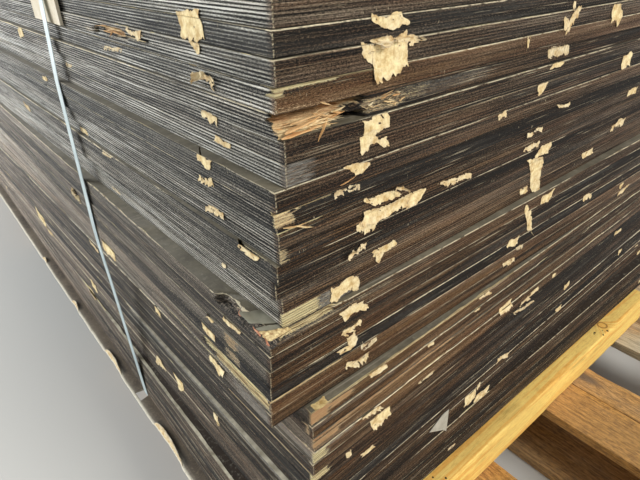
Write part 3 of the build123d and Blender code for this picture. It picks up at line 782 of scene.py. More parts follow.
def edge_surface(sheet, side, along):
    """How far an edge stands out at each level and column, and its wear, painted sheen and tone."""
    seed = sheet.number * 31 + SIDES.index(side)
    rib, brown = look(sheet.number, side)
    rows = np.arange(len(LEVELS))[:, None]
    run = along[None, :]
    ridge = np.where(rows % 2 == 1, 1.0, -1.0)
    depth = (0.08 + rib * (0.14 + 0.30 * hashed(rows, seed))) * MM
    ripple = (layered_noise(run * 11, rows * 3.7, seed) - 0.5) * (0.25 + 0.3 * rib) * MM
    out = ridge * depth + ripple - 0.25 * MM * layered_noise(run * 60, rows * 2.3, seed + 3)
    arris = np.where((rows == 0) | (rows == len(LEVELS) - 1), 1.0, 0.0)
    out = out * (1 - arris) - arris * (ARRIS_WORN + ARRIS_UNEVEN * layered_noise(run * 24, rows, seed + 1))
    lined = sheet.number in (FRONT_LINES if side in ("front", "rear") else LEFT_LINES)
    chip = rise(layered_noise(along * 26, sheet.number * 1.7, 5 + seed, 4), 0.63 - 0.05 * lined, 0.72)
    out[-1] -= CHIP_DEEP * chip
    out[-2] -= CHIP_BELOW * chip
    nick = rise(layered_noise(along * 34, sheet.number * 2.9, 9 + seed, 4), 0.66, 0.74)
    out[0] -= NICK_DEEP * nick
    bare = np.zeros_like(out)
    bare[-1] = chip * 0.75
    bare[-2] = chip * 0.3
    bare[0] = nick * 0.35
    fresh = np.zeros_like(out)
    dust = 0.18 * rise(layered_noise(run * 5, rows * 0.2, seed + 7), 0.45, 0.8) * np.ones_like(out)
    for mark in MARKS:
        if mark[:2] != (sheet.number, side):
            continue
        start, deep, is_bare, is_fresh, is_dusty = mark[2] * MM, *mark[6:]
        inside = mark_inside(mark, run, rows, seed)
        torn = 0.35 + 1.1 * layered_noise(run * 75, rows * 3.1, seed + 11 + start)
        out -= deep * MM * inside * torn
        bare = np.maximum(bare, is_bare * inside)
        fresh = np.maximum(fresh, is_fresh * inside)
        dust = np.maximum(dust, is_dusty * inside)
    scuff_and_sheen = 0.05 + 0.6 * float(hashed(sheet.number, 3.7)) + 0.3 * layered_noise(run * 3, rows * 0.1, seed + 5)
    scuff_and_sheen = scuff_and_sheen + 0.25 * (rows >= len(LEVELS) - 2) - 0.15 * (rows <= 1)
    rubbed, reach = FRONT_RUBBED.get((sheet.number, side), (0.0, 1.0))
    scuff_and_sheen = scuff_and_sheen + rubbed * (1 - rise(run, reach * 0.6, reach * 1.3))
    # Left edges grow lighter away from the near corner: dust and painted sheen.
    if side == "left":
        scuff_and_sheen = scuff_and_sheen + LEFT_DUST_AND_SHEEN * rise(run, 0.4, 1.5)
    line = (0.95 if lined else 0.30) * rise(layered_noise(run * 7, sheet.number * 0.7, seed + 2), 0.25, 0.5)
    flat = np.ones_like(out)
    wear = np.stack([bare, fresh, scuff_and_sheen * flat, flat], axis=-1)
    patchy = 0.6 + 0.8 * layered_noise(run * 4, rows * 0.3, seed + 8)
    drift = (layered_noise(run * 3, rows * 0.1, seed + 6) - 0.5) * 0.4
    tones = (np.clip(brown + drift, 0, 1), rib * patchy, dust, line)
    tone = np.stack([values * flat for values in tones], axis=-1)
    return out, wear, tone


def sheet_mesh(sheet):
    """One sheet: edge faces with the relief of its plies, and film faces above and below."""
    levels = len(LEVELS)
    heights = sheet.low + LEVELS * (sheet.high - sheet.low)
    corner_out = {side: edge_surface(sheet, side, np.zeros(1))[0][:, 0] for side in ("front", "left")}
    places, wears, tones, travels = [], [], [], []
    travelled = 0.0
    for side in SIDES:
        start, direction, outward, length = sheet.side(side)
        along = stepped(FINE_COLUMNS.get((sheet.number, side), COLUMN_STEPS[side]), length)
        if side in ("rear", "left"):
            along = np.concatenate([[length], along[:0:-1]])
        out, wear, tone = edge_surface(sheet, side, along)
        run = np.broadcast_to(along, out.shape).copy()
        if side in corner_out:
            run = np.maximum(run, -corner_out["left" if side == "front" else "front"][:, None])
        if side == "front":
            run[:, 0] = 0.0
        flat = start + run[:, :, None] * direction + out[:, :, None] * outward
        _, _, before_outward, before_length = sheet.side(BEFORE[side])
        at_corner = before_length if side in ("right", "rear") else 0.0
        before_out = edge_surface(sheet, BEFORE[side], np.array([at_corner]))[0][:, 0]
        flat[:, 0] += before_out[:, None] * before_outward
        height = np.broadcast_to(heights[:, None], out.shape)[:, :, None]
        for kept, grid in ((places, np.concatenate([flat, height], axis=-1)), (wears, wear), (tones, tone)):
            kept.append(grid.transpose(1, 0, 2))
        gone = along if side in ("front", "right") else length - along
        travels.append(travelled + gone)
        travelled += length
    vertices = np.concatenate(places)
    count = len(vertices)
    columns = np.arange(count)
    after = (columns + 1) % count
    rows = np.arange(levels - 1)
    low_here = columns[:, None] * levels + rows
    low_after = after[:, None] * levels + rows
    quads = np.stack([low_here, low_after, low_after + 1, low_here + 1], axis=-1).reshape(-1, 4)
    lower = (columns[::-1] * levels).tolist()
    upper = (columns * levels + levels - 1).tolist()
    slots = np.append(np.zeros(len(quads), np.int32), [1, 1])
    materials = [EDGE, FILM_FACES.get(sheet.number, FILM)]
    name = f"plywood_sheet_{sheet.number:02d}"
    faces = quads.tolist() + [upper, lower]
    piece = mesh_object(name, vertices.reshape(-1, 3), faces, materials, slots, SHEET_SHARP_OVER)
    set_marks(piece, "wear", np.concatenate(wears).reshape(-1, 4))
    set_marks(piece, "tone", np.concatenate(tones).reshape(-1, 4))
    travel = np.concatenate(travels)
    v = sheet.number + LEVELS * BELOW_ONE
    parts = (travel[:, None], np.append(travel[1:], travelled)[:, None], v[:-1], v[1:])
    u_here, u_after, v_low, v_high = (np.broadcast_to(part, (count, levels - 1)) for part in parts)
    quad_uv = np.stack([u_here, v_low, u_after, v_low, u_after, v_high, u_here, v_high], axis=-1)
    set_uv(piece, np.concatenate([quad_uv.reshape(-1, 2), np.zeros((2 * count, 2))]))
    return piece


for sheet, name in zip(sheets, SHEET_NAMES):
    settle(sheet_mesh(sheet), "film_faced_plywood", name)


def nearest_faces(side, along, drop):
    """Where lines from the photo's camera, through places on the stack's nominal face, meet the sheets.

    Places are given as metres along the face from the near corner and as sheets down from the top.
    """
    unit = np.array([1.0, 0.0]) if side == "front" else np.array([0.0, 1.0])
    flat = corner + np.outer(along, unit)
    height = stack_top - drop * thickness
    sides = [sheet.side(side) for sheet in sheets]
    starts = np.array([s[0] for s in sides])
    outwards = np.array([s[2] for s in sides])
    to_plane = ((starts - camera_place[:2]) * outwards).sum(axis=1)
    to_place = (flat - camera_place[:2]) @ outwards.T
    share = to_plane[None, :] / to_place
    hit_z = camera_place[2] + share * (height[:, None] - camera_place[2])
    lows = np.array([s.low for s in sheets])
    highs = np.array([s.high for s in sheets])
    missed = np.maximum(lows - hit_z, 0) + np.maximum(hit_z - highs, 0)
    chosen = np.argmin(np.where(missed <= 0, share, 10 + missed * 1000), axis=1)
    pick = np.arange(len(flat))
    share = share[pick, chosen]
    place = camera_place[:2] + share[:, None] * (flat - camera_place[:2])
    z = np.clip(hit_z[pick, chosen], lows[chosen], highs[chosen])
    return np.column_stack([place, z]), outwards[chosen]


def plain_faces(side, along, drop):
    """Places on the sheets' own edge faces, straight across from the given places."""
    numbers = np.clip(drop.astype(int), 0, len(sheets) - 1)
    sides = [sheets[n].side(side) for n in range(len(sheets))]
    starts = np.array([s[0] for s in sides])[numbers]
    directions = np.array([s[1] for s in sides])[numbers]
    outwards = np.array([s[2] for s in sides])[numbers]
    flat = starts + along[:, None] * directions
    return np.column_stack([flat, stack_top - drop * thickness]), outwards


def cut_out(us, ws, field):
    """The part of a grid where a field is above zero: points as grid places, and faces."""
    points = []
    found = {}
    faces = []

    def node(a, b=None):
        """The number of a grid point, or of the crossing between two."""
        key = a if b is None else (min(a, b), max(a, b))
        if key not in found:
            if b is None:
                place = (us[a[0]], ws[a[1]], field[a])
            else:
                share = field[a] / (field[a] - field[b])
                place = (
                    us[a[0]] + (us[b[0]] - us[a[0]]) * share, ws[a[1]] + (ws[b[1]] - ws[a[1]]) * share, 0.0,
                )
            found[key] = len(points)
            points.append(place)
        return found[key]

    for i in range(len(us) - 1):
        for j in range(len(ws) - 1):
            if field[i:i + 2, j:j + 2].max() <= 0:
                continue
            for triangle in (((i, j), (i + 1, j), (i + 1, j + 1)), ((i, j), (i + 1, j + 1), (i, j + 1))):
                ring = []
                for a, b in zip(triangle, triangle[1:] + triangle[:1]):
                    if field[a] > 0:
                        ring.append(node(a))
                    if (field[a] > 0) != (field[b] > 0):
                        ring.append(node(a, b))
                if len(ring) > 2:
                    faces.append(ring)
    return np.array(points), faces


def slab(upper, lower, faces, wear):
    """A closed thin part from one layer's faces: upper layer, lower layer and walls."""
    count = len(upper)
    edges = {(a, b) for face in faces for a, b in zip(face, face[1:] + face[:1])}
    walls = [[a, a + count, b + count, b] for a, b in sorted(edges) if (b, a) not in edges]
    under = [[v + count for v in reversed(face)] for face in faces]
    return np.concatenate([upper, lower]), faces + under + walls, np.concatenate([wear, wear])


def plain_wear(count, *values):
    """The same wear for a number of vertices, none where no values are given."""
    return np.tile([*(values or (0.0, 0.0, 0.0)), 1.0], (count, 1))


# Torn cardboard remains, read off the photo: start and end along the face in mm from the near corner,
# top and bottom in sheets down from the stack's top, kind, and lean of the bottom in mm
FRONT_RESIDUES = [
    (95, 129, 1.9, 2.57, "chip", 4), (91, 132, 2.83, 4.62, "big", 2), (80, 92, 3.0, 3.9, "strip", 2),
    (92, 143, 2.80, 3.30, "curl", 4), (383, 421, 3.03, 4.64, "lacy", -4),
    (399, 405, 2.5, 3.1, "strip", 0), (316, 323, 4.1, 4.83, "drip", 0), (361, 413, 5.1, 6.0, "smear", 6),
    (378, 405, 5.97, 6.35, "chip", 0), (81, 113, 6.15, 7.05, "chip", 0), (79, 100, 6.9, 8.03, "drip", -8),
    (94, 116, 7.26, 7.9, "comb", 2), (64, 92, 8.28, 8.98, "drip", -4), (355, 377, 7.05, 7.9, "drip", -4),
    (572, 601, 6.9, 8.1, "chip", 2), (284, 303, 8.07, 8.87, "lacy", 0), (415, 444, 9.03, 9.5, "comb", 3),
    (53, 84, 9.28, 9.78, "smear", 3), (92, 129, 10.28, 10.92, "big", 5),
    (124, 138, 10.2, 10.7, "curl", 8), (347, 381, 10.05, 10.42, "curl", 4),
    (77, 162, 11.02, 11.85, "big", -10), (79, 106, 11.6, 12.68, "comb", -4),
    (197, 247, 11.05, 11.87, "lacy", 6), (349, 388, 10.9, 11.7, "lacy", 4),
    (386, 418, 11.7, 12.55, "chip", 4), (380, 414, 12.4, 15.6, "long", 26),
    (68, 92, 12.75, 13.18, "curl", 3), (99, 133, 13.5, 14.0, "chip", 10),
    (104, 116, 13.8, 14.45, "drip", -2), (49, 84, 14.62, 15.64, "big", 0),
    (362, 381, 14.25, 14.85, "chip", 0), (64, 96, 16.35, 17.25, "big", 6),
    (396, 412, 16.2, 19.15, "long", 29), (64, 92, 17.78, 18.5, "comb", 3),
    (70, 84, 18.4, 19.4, "strip", 2), (57, 78, 19.12, 19.55, "chip", 3),
    (360, 386, 18.5, 19.25, "chip", 2), (351, 383, 20.25, 21.05, "lacy", 3),
    (67, 102, 20.52, 21.55, "comb", 3), (86, 113, 19.8, 20.45, "smear", 3),
    (383, 402, 19.5, 20.2, "smear", 2), (104, 131, 22.5, 23.15, "chip", 4),
    (310, 338, 21.95, 22.75, "lacy", 3), (302, 316, 23.1, 23.55, "chip", 1),
    (207, 219, 23.55, 23.9, "chip", 1), (369, 401, 24.85, 25.85, "big", 4),
    (96, 128, 26.05, 26.95, "comb", 5), (109, 143, 26.95, 28.15, "big", 5),
    (430, 459, 25.95, 26.85, "lacy", 2), (197, 230, 26.7, 27.15, "smear", 3),
    (459, 483, 25.75, 26.25, "chip", 1), (522, 535, 25.55, 26.05, "chip", 0),
    (415, 474, 26.85, 27.45, "smear", 4), (69, 78, 28.45, 29.15, "strip", 2),
    (96, 118, 29.75, 30.25, "chip", 2), (393, 436, 31.45, 32.35, "lacy", 4),
    (350, 358, 32.65, 33.45, "strip", 1), (320, 349, 33.25, 34.75, "chip", 2),
    (351, 385, 34.15, 35.05, "big", 3), (296, 317, 38.75, 39.25, "smear", 2),
    (583, 601, 28.1, 28.85, "chip", 1), (575, 596, 30.85, 31.45, "chip", 1),
    (428, 458, 15.9, 16.7, "chip", 2), (500, 528, 3.3, 4.6, "big", 2), (596, 640, 12.2, 13.3, "lacy", 3),
    (520, 552, 13.9, 14.5, "chip", 2), (560, 590, 18.3, 19.2, "comb", 2),
]
LEFT_RESIDUES = [
    (95, 135, 1.8, 3.2, "big", 0), (99, 118, 3.0, 3.58, "drip", -4), (214, 256, 3.1, 3.75, "lacy", 4),
    (287, 349, 4.45, 4.85, "smear", 4), (83, 114, 4.2, 4.87, "curl", 0), (85, 113, 6.2, 6.87, "comb", 0),
    (69, 95, 7.18, 7.52, "chip", 3), (110, 137, 8.55, 9.28, "chip", 0),
    (112, 140, 9.78, 10.58, "comb", 2), (95, 137, 11.4, 12.25, "lacy", 3),
    (44, 78, 12.5, 13.05, "chip", 4), (505, 541, 12.3, 12.78, "chip", 0),
    (496, 527, 6.85, 7.32, "smear", 0), (670, 699, 9.4, 9.85, "chip", 0),
    (415, 452, 13.2, 13.55, "smear", 0), (107, 115, 14.8, 15.2, "strip", 2),
    (414, 452, 16.15, 16.55, "smear", 0), (95, 132, 19.15, 19.65, "chip", 3),
    (160, 176, 20.6, 21.05, "chip", 2), (160, 192, 22.05, 22.85, "chip", 2),
    (153, 192, 24.75, 25.5, "big", 2), (160, 174, 25.4, 26.15, "drip", -2),
    (535, 601, 25.0, 26.55, "big", 0), (682, 724, 21.4, 22.55, "curl", 0),
    (351, 372, 26.35, 27.05, "chip", 0), (653, 708, 27.55, 28.45, "lacy", 0),
    (392, 447, 34.2, 36.0, "lacy", 3), (772, 809, 35.9, 37.3, "chip", 0),
    (1205, 1300, 35.8, 37.9, "big", 0), (1146, 1212, 37.0, 38.6, "lacy", 0),
    (814, 862, 38.5, 39.9, "chip", 0), (196, 210, 31.6, 33.0, "strip", 2),
    (315, 352, 33.55, 35.45, "drip", 3), (300, 330, 1.0, 1.5, "chip", 2), (755, 790, 5.6, 6.6, "chip", 0),
    (905, 950, 14.5, 15.6, "lacy", 0),
]
# The grid they are cut from, in mm: finer for those that start near the corner
NEAR_RESIDUE_GRID = 1.05
FAR_RESIDUE_GRID = 1.5
NEAR_RESIDUES_END = 165
# Kinds: raggedness, lift of its edges in mm, paleness, orange and thinness
RESIDUE_KINDS = {
    "chip": (0.34, 0.6, 0.1, 0.0, 0.1),
    "big": (0.26, 1.2, 0.1, 0.0, 0.05),
    "strip": (0.35, 0.5, 0.2, 0.0, 0.1),
    "curl": (0.55, 4.0, 0.25, 0.0, 0.1),
    "lacy": (0.85, 0.9, 0.2, 0.05, 0.2),
    "drip": (0.3, 0.6, 0.1, 0.0, 0.1),
    "smear": (0.8, 0.1, 0.3, 0.0, 0.5),
    "comb": (0.4, 0.7, 0.15, 0.0, 0.15),
    "long": (0.3, 1.0, 0.15, 0.0, 0.1),
}


def residue_field(kind, us, ws, box, lean, seed):
    """How far inside a torn outline each grid place lies, in mm."""
    start, end, top, bottom = box
    width, height = end - start, bottom - top
    u, w = np.meshgrid(us, ws, indexing="ij")
    t = (w - top) / height
    ragged, least = RESIDUE_KINDS[kind][0], min(width, height)
    bend = 0.30 * width * (smooth_noise(w / (0.45 * height), 0.0, seed + 81) - 0.5)
    u = u - lean * (t - 0.5) - bend + 3.4 * (layered_noise(u / 6.5, w / 4.5, seed + 83) - 0.5)
    slope = 0.42 * height * (smooth_noise(u / (0.4 * width), 0.0, seed + 85) - 0.5)
    t = t - slope / height
    s = (u - start) / width
    coarse = layered_noise(u / 9.0, w / 9.0, seed, 4)
    fine = layered_noise(u / 1.9, w / 3.2, seed + 40, 3)
    narrow = {"drip": 0.85 * np.clip(t, 0, 1) ** 1.3, "long": 0.45 * np.clip(t, 0, 1)}.get(kind, 0.0)
    sides = (0.5 * (1 - narrow) - np.abs(s - 0.5)) * width
    teeth = layered_noise(u / 2.6, 0.0, seed + 60, 3)
    drop = {"comb": 0.75, "big": 0.28, "lacy": 0.45}.get(kind, 0.18)
    ends = np.minimum(t * height, (1 - drop * teeth - t) * height)
    if kind == "curl":
        arch = 0.35 + 0.65 * (2 * s - 1) ** 2
        ends = np.minimum(t, arch - t + 0.25) * height
    field = np.minimum(sides, ends)
    field = field - ragged * least * 0.5 * (0.75 * coarse + 0.25 * fine) - 1.5 * (fine - 0.5) * (1 + ragged)
    holes = layered_noise(u / 3.6, w / 3.6, seed + 91, 3)
    field = np.minimum(field, (0.74 - 0.12 * ragged - holes) * 14.0)
    return np.minimum(field, least) + 0.06 * least


def residue(side, row, seed, faces_of):
    """Vertices, faces and wear of one torn remain."""
    start, end, top, bottom, kind, lean = row
    drop = thickness / MM
    margin = abs(lean) + 3.0
    near = faces_of is nearest_faces and start < NEAR_RESIDUES_END
    step = NEAR_RESIDUE_GRID if near else FAR_RESIDUE_GRID
    us = np.arange(start - margin, end + margin, step)
    ws = np.arange(top * drop - 3.0, bottom * drop + 3.0, step)
    box = (start, end, top * drop, bottom * drop)
    points, faces = cut_out(us, ws, residue_field(kind, us, ws, box, lean, seed))
    if not faces:
        return None
    u, w, inside = points.T
    place, outward = faces_of(side, np.maximum(u, 0.5) * MM, w / drop)
    _, lift, white, orange, thin = RESIDUE_KINDS[kind]
    loose = layered_noise(u / 14.0, w / 14.0, seed + 9)
    raised = lift * np.exp(-inside / 2.2) * rise(loose, 0.35, 0.75)
    if kind in ("big", "long"):
        raised = raised + 2.4 * rise(w, box[3] - 7.0, box[3] + 2.0) * rise(loose, 0.4, 0.8)
    if kind == "curl":
        raised = raised + 3.0 * rise(layered_noise(u / 8.0, 0.3, seed + 2), 0.3, 0.7)
    wrinkles = 0.35 * layered_noise(u / 3.0, w / 3.0, seed + 5)
    upper = 0.35 + raised + wrinkles if kind != "smear" else 0.12 + 0.15 * wrinkles
    lower = upper - 0.45 if kind != "smear" else upper - 0.3
    flat = np.column_stack([outward, np.zeros(len(u))])
    if side in ("front", "right"):
        faces = [face[::-1] for face in faces]
    edge = np.exp(-inside / 1.2)
    pale = np.clip(white + 0.35 * loose + 0.2 * edge, 0, 1)
    wear = np.column_stack([pale, np.full(len(u), orange) + 0.12 * edge, thin + 0.2 * edge, np.ones(len(u))])
    return slab(place + flat * (upper * MM)[:, None], place + flat * (lower * MM)[:, None], faces, wear)


def joined(name, parts, *materials):
    """One mesh object from parts: vertices, faces and wear, and with two materials slots and coordinates."""
    faces = []
    first = 0
    for vertices, some_faces, *_ in parts:
        faces += [[v + first for v in face] for face in some_faces]
        first += len(vertices)
    slots = [slot for part in parts for slot in part[3]] if len(materials) > 1 else None
    places = np.concatenate([part[0] for part in parts])
    piece = mesh_object(name, places, faces, materials, slots, SHARP_OVER)
    set_marks(piece, "wear", np.concatenate([part[2] for part in parts]))
    if slots:
        set_uv(piece, [place for part in parts for place in part[4]])
    return piece


# Where the remains end above the lowest sheet's lower edge, in sheets from the top
LOWEST_RESIDUE = 39.9


def scattered_residues(low, high, count, seed):
    """Plain remains for the stretches of edge that the photo doesn't show."""
    kinds = ("chip", "lacy", "comb", "drip", "smear", "chip")
    rows = []
    for n in range(count):
        start = low + (high - low) * float(hashed(n, seed))
        top = 0.3 + 38.5 * float(hashed(n, seed + 1))
        width = 16 + 26 * float(hashed(n, seed + 2))
        height = 0.35 + 0.55 * float(hashed(n, seed + 3))
        kind = kinds[int(len(kinds) * float(hashed(n, seed + 4)))]
        lean = 3 * float(hashed(n, seed + 5))
        rows.append((start, start + width, top, min(top + height, LOWEST_RESIDUE), kind, lean))
    return rows


# Each set's side, its rows, how places are found, and its first seed
RESIDUE_SETS = [
    ("front", FRONT_RESIDUES, nearest_faces, 100),
    ("front", scattered_residues(650, 1190, 26, 11), plain_faces, 200),
    ("left", LEFT_RESIDUES, nearest_faces, 300),
    ("left", scattered_residues(1320, 2430, 26, 21), plain_faces, 400),
    ("right", scattered_residues(60, 2430, 40, 31), plain_faces, 500),
    ("rear", scattered_residues(60, 1190, 34, 41), plain_faces, 600),
]
for side in SIDES:
    parts = [
        residue(side, row, seed + n, faces_of)
        for where, rows, faces_of, seed in RESIDUE_SETS if where == side for n, row in enumerate(rows)
    ]
    settle(joined(f"cardboard_residues_{side}", [part for part in parts if part], RESIDUE), "cover_board")


# Splinters: sections along one, by their place and size as shares
SPLINTER_SHARES = (0.0, 0.18, 0.45, 0.75, 1.0)
SPLINTER_SIZES = (0.45, 1.0, 0.9, 0.6, 0.08)
# Those of a group: most degrees either way from the front edge, how much they tilt in sheets, the least
# width and what may be added to it in mm, and how far along Y their ends may lie in mm
SPLINTER_TURN = 32
SPLINTER_TILT = 0.55
SPLINTER_WIDTH = (0.7, 1.9)
SPLINTER_REACH = (-2.0, 10.0)


def splinter(start, end, width, deep, seed):
    """A torn sliver of wood that tapers to both ends, from one place to another."""
    start, end = Vector(start), Vector(end)
    run = end - start
    across = run.cross(Vector((0, 0, 1)))
    if across.length < 1e-6:
        across = Vector((1, 0, 0))
    across.normalize()
    up = across.cross(run).normalized()
    vertices = []
    for n, (share, size) in enumerate(zip(SPLINTER_SHARES, SPLINTER_SIZES)):
        bend = (float(hashed(n, seed)) - 0.5) * width * 0.8
        middle = start + run * share + across * bend
        for a, b in ((-1, -1), (1, -1), (1, 1), (-1, 1)):
            jitter = 0.7 + 0.6 * float(hashed(n * 4 + a + 2 * b, seed + 1))
            vertices.append(middle + across * (a * width / 2 * size * jitter) + up * (b * deep / 2 * size))
    last = len(vertices) - 4
    pairs = [(first + k, first + (k + 1) % 4) for first in range(0, last, 4) for k in range(4)]
    faces = [[a, b, b + 4, a + 4] for a, b in pairs] + [[3, 2, 1, 0], list(range(last, last + 4))]
    fresh = float(hashed(seed, 7))
    wear = plain_wear(len(vertices), 0.1 + 0.5 * (1 - fresh), 0.05 + 0.75 * fresh ** 2, 0.0)
    return np.array([tuple(v) for v in vertices]), faces, wear


def splinter_group(count, sheet, x_range, y_range, share_range, length_range, seed):
    """Slivers that lie about along the front edge inside a torn place, in mm from the near corner."""
    parts = []
    for n in range(count):
        pick = [float(hashed(n, seed + k)) for k in range(8)]
        ranges = (x_range, y_range, share_range, length_range)
        x, y, share, length = (least + (most - least) * at for (least, most), at in zip(ranges, pick))
        angle = math.radians(2 * SPLINTER_TURN * pick[4] - SPLINTER_TURN)
        drop = (pick[5] - 0.5) * SPLINTER_TILT
        start = sheet.inside(x * MM, y * MM, share)
        end_x = x + length * math.cos(angle)
        end_y = min(max(y + length * math.sin(angle) * 0.4, SPLINTER_REACH[0]), SPLINTER_REACH[1])
        end = sheet.inside(end_x * MM, end_y * MM, min(max(share + drop, 0.04), 0.96))
        width = (SPLINTER_WIDTH[0] + SPLINTER_WIDTH[1] * pick[6] ** 2) * MM
        parts.append(splinter(start, end, width, width * (0.3 + 0.4 * pick[7]), seed + n))
    return parts


# The sixth sheet's broken corner and the seventeenth's torn one
broken = sheets[5]
torn_corner = sheets[16]
slivers = splinter_group(46, broken, (1, 40), (0, 9), (0.06, 0.52), (9, 30), 900)
slivers += splinter_group(16, broken, (28, 52), (0, 8), (0.25, 0.62), (8, 24), 950)
slivers += splinter_group(16, broken, (80, 128), (-0.5, 2.0), (0.15, 0.75), (5, 16), 960)
slivers += splinter_group(12, torn_corner, (6, 26), (1, 9), (0.62, 0.86), (8, 24), 970)
# Single slivers that hang out of the torn places of a face: along it in mm and down it in sheets, for
# both ends, how far each end stands out in mm, and the width in mm
FRONT_SLIVERS = [
    (46, 5.75, 36, 6.62, 0.5, 2.5, 2.2), (6, 5.9, 40, 5.45, 0.0, 3.0, 4.0),
    (2, 6.05, 36, 5.98, 1.0, 1.5, 3.4), (14, 5.65, 44, 5.4, -3.0, 1.0, 3.0),
    (28, 5.85, 56, 5.8, 0.5, 2.0, 2.0), (34, 5.4, 52, 5.7, -2.0, 1.0, 2.0),
    (12, 10.22, 30, 10.62, 0.5, 1.5, 3.2), (0, 10.1, 26, 10.3, 0.4, 0.6, 2.4),
    (40, 4.98, 50, 5.2, 0.0, 2.0, 2.6), (104, 5.5, 118, 5.3, 0.2, 0.8, 1.0),
    (60, 9.05, 78, 8.85, 0.3, 0.6, 1.2),
]
# Those of the left face lie in and round the gouge of the fourth sheet
LEFT_SLIVERS = [
    (272, 3.40, 330, 3.36, 0.0, 1.8, 2.2), (276, 3.62, 300, 3.42, -1.0, 2.2, 2.4),
    (288, 3.34, 312, 3.56, 0.0, 2.6, 1.8), (262, 3.60, 286, 3.72, -1.0, 1.0, 1.8),
    (296, 3.52, 306, 3.86, 0.0, 2.2, 1.8), (214, 3.66, 268, 3.58, -0.6, 0.4, 1.4),
    (318, 3.30, 350, 3.46, 0.0, 1.8, 1.8), (304, 3.66, 330, 3.60, 0.0, 1.6, 2.0),
]
for side, rows, seed in (("front", FRONT_SLIVERS, 1000), ("left", LEFT_SLIVERS, 1100)):
    for n, (at0, drop0, at1, drop1, out0, out1, width) in enumerate(rows):
        place, outward = nearest_faces(side, np.array([at0, at1]) * MM, np.array([drop0, drop1]))
        lifted = place + np.column_stack([outward, [0, 0]]) * np.array([[out0], [out1]]) * MM
        slivers.append(splinter(lifted[0], lifted[1], width * MM, width * 0.35 * MM, seed + n))
settle(joined("torn_wood_splinters", slivers, RESIDUE), "film_faced_plywood")


def on_sheet(sheet, u, w, raised):
    """Places across and along a sheet's upper face in mm from its near left corner, raised in mm."""
    base = np.array([sheet.inside(x * MM, y * MM, 1.0) for x, y in zip(u, w)])
    base[:, 2] += raised * MM
    return base


def bent_sheet(outline_field, us, ws, surface, thick):
    """A thin torn flap: an outline cut from a grid, laid on a bent surface."""
    u, w = np.meshgrid(us, ws, indexing="ij")
    points, faces = cut_out(us, ws, outline_field(u, w))
    upper = surface(points[:, 0], points[:, 1])
    return slab(upper, upper - np.array([0, 0, thick]), faces, plain_wear(len(points)))


def flap_field(u, w):
    """Outline of the film flap on the torn corner: across the ledge and along the left edge, in mm."""
    ragged = 5.0 * layered_noise(u / 6.0, w / 6.0, 71, 4)
    ends = np.minimum(w - 25.0 + 0.47 * u, 47.0 - w - 0.25 * u)
    return np.minimum(np.minimum(u + 1.6, 22.0 - u), ends) - ragged + 2.0


def near_flap_field(u, w):
    """Outline of the smaller piece of film between the flap's crack and the corner."""
    ragged = 3.6 * layered_noise(u / 4.0, w / 4.0, 77, 4)
    ends = np.minimum(w - 16.5 + 0.49 * u, 22.5 - 0.47 * u - w)
    return np.minimum(np.minimum(u + 0.4, 21.0 - u), ends) - ragged + 1.6


def flap_surface(u, w):
    """The flap's upper side: it lies on the ledge at the back and rises towards its torn front."""
    raised = 1.6 + 2.6 * rise(34.0 - w, 0, 14) * rise(22.0 - u, 0, 20) + 2.4 * rise(9.0 - u, 0, 10)
    raised = raised + 2.6 * rise(w, 34, 48)
    return on_sheet(torn_corner, u, w, np.maximum(raised + 0.7 * layered_noise(u / 5, w / 7, 3), 0.4))


def near_flap_surface(u, w):
    """The smaller piece lies lower and tips down towards the corner."""
    return on_sheet(torn_corner, u, w, 0.8 + 1.4 * rise(w, 8, 20) + 0.6 * layered_noise(u / 4, w / 4, 8))


FLAP_FILM = film_material("torn_film", tint(112, 110, 96), tint(150, 148, 130))
FLAP_THICK = 0.6 * MM
flap_parts = [
    bent_sheet(field, np.arange(-3, 25, 0.9), np.arange(-2, 96, 1.1), surface, FLAP_THICK)
    for field, surface in ((flap_field, flap_surface), (near_flap_field, near_flap_surface))
]
settle(joined("lifted_film_flap", flap_parts, FLAP_FILM), "film_faced_plywood")


def bare_field(u, w):
    """Outline of the plies laid bare at the corner, in front of the smaller piece, in mm."""
    ragged = 4.0 * layered_noise(u / 3.0, w / 3.0, 79, 4)
    ends = np.minimum(w + 0.2, 17.5 - 0.49 * u - w)
    return np.minimum(np.minimum(u + 0.2, 24.0 - u), ends) - ragged + 1.6


def bare_surface(u, w):
    """They lie just above the ledge, in low steps."""
    return on_sheet(torn_corner, u, w, 0.35 + 0.5 * np.round(2 * layered_noise(u / 6, w / 9, 81)))


BARE_PLY = simple_material("bare_ply", tint(255, 236, 176), tint(150, 104, 58), 340.0, 0.75, 0.4)
bare = bent_sheet(bare_field, np.arange(-1, 26, 0.8), np.arange(-1, 20, 0.8), bare_surface, 0.3 * MM)
settle(joined("bare_corner_plies", [bare], BARE_PLY), "film_faced_plywood")

# Pink rims of the torn film: start and end along the left edge in mm, distance in, share up, and width
FLAP_RIMS = [(42, 50, 0.6, 1.2, 3.0), (12, 27, -0.5, 0.98, 1.8), (0, 12, 0.5, 0.78, 1.8)]
RIM_MATERIAL = simple_material("film_underside", tint(222, 164, 128), tint(168, 104, 78), 200.0, 0.7, 0.3)
rims = []
for n, (y0, y1, x, share, wide) in enumerate(FLAP_RIMS):
    start = torn_corner.inside((x - 0.5) * MM, y0 * MM, share)
    end = torn_corner.inside((x + 1.0) * MM, y1 * MM, share + 0.08)
    rims.append(splinter(start, end, wide * MM, 0.9 * MM, 1200 + n))
settle(joined("torn_film_rims", rims, RIM_MATERIAL), "film_faced_plywood")


def ledge_patch(u, w):
    """Outline of the pale remain that lies on the ledge of the twenty-third sheet, in mm."""
    ragged = 4.0 * layered_noise(u / 4.0, w / 4.0, 55, 4)
    return np.minimum(np.minimum(u - 5.0, 25.0 - u), np.minimum(w + 1.0, 10.0 - w)) - ragged + 1.0


def ledge_surface(u, w):
    """It lies close on the film."""
    return on_sheet(sheets[22], u, w, 0.5 + 0.5 * layered_noise(u / 3, w / 3, 9))


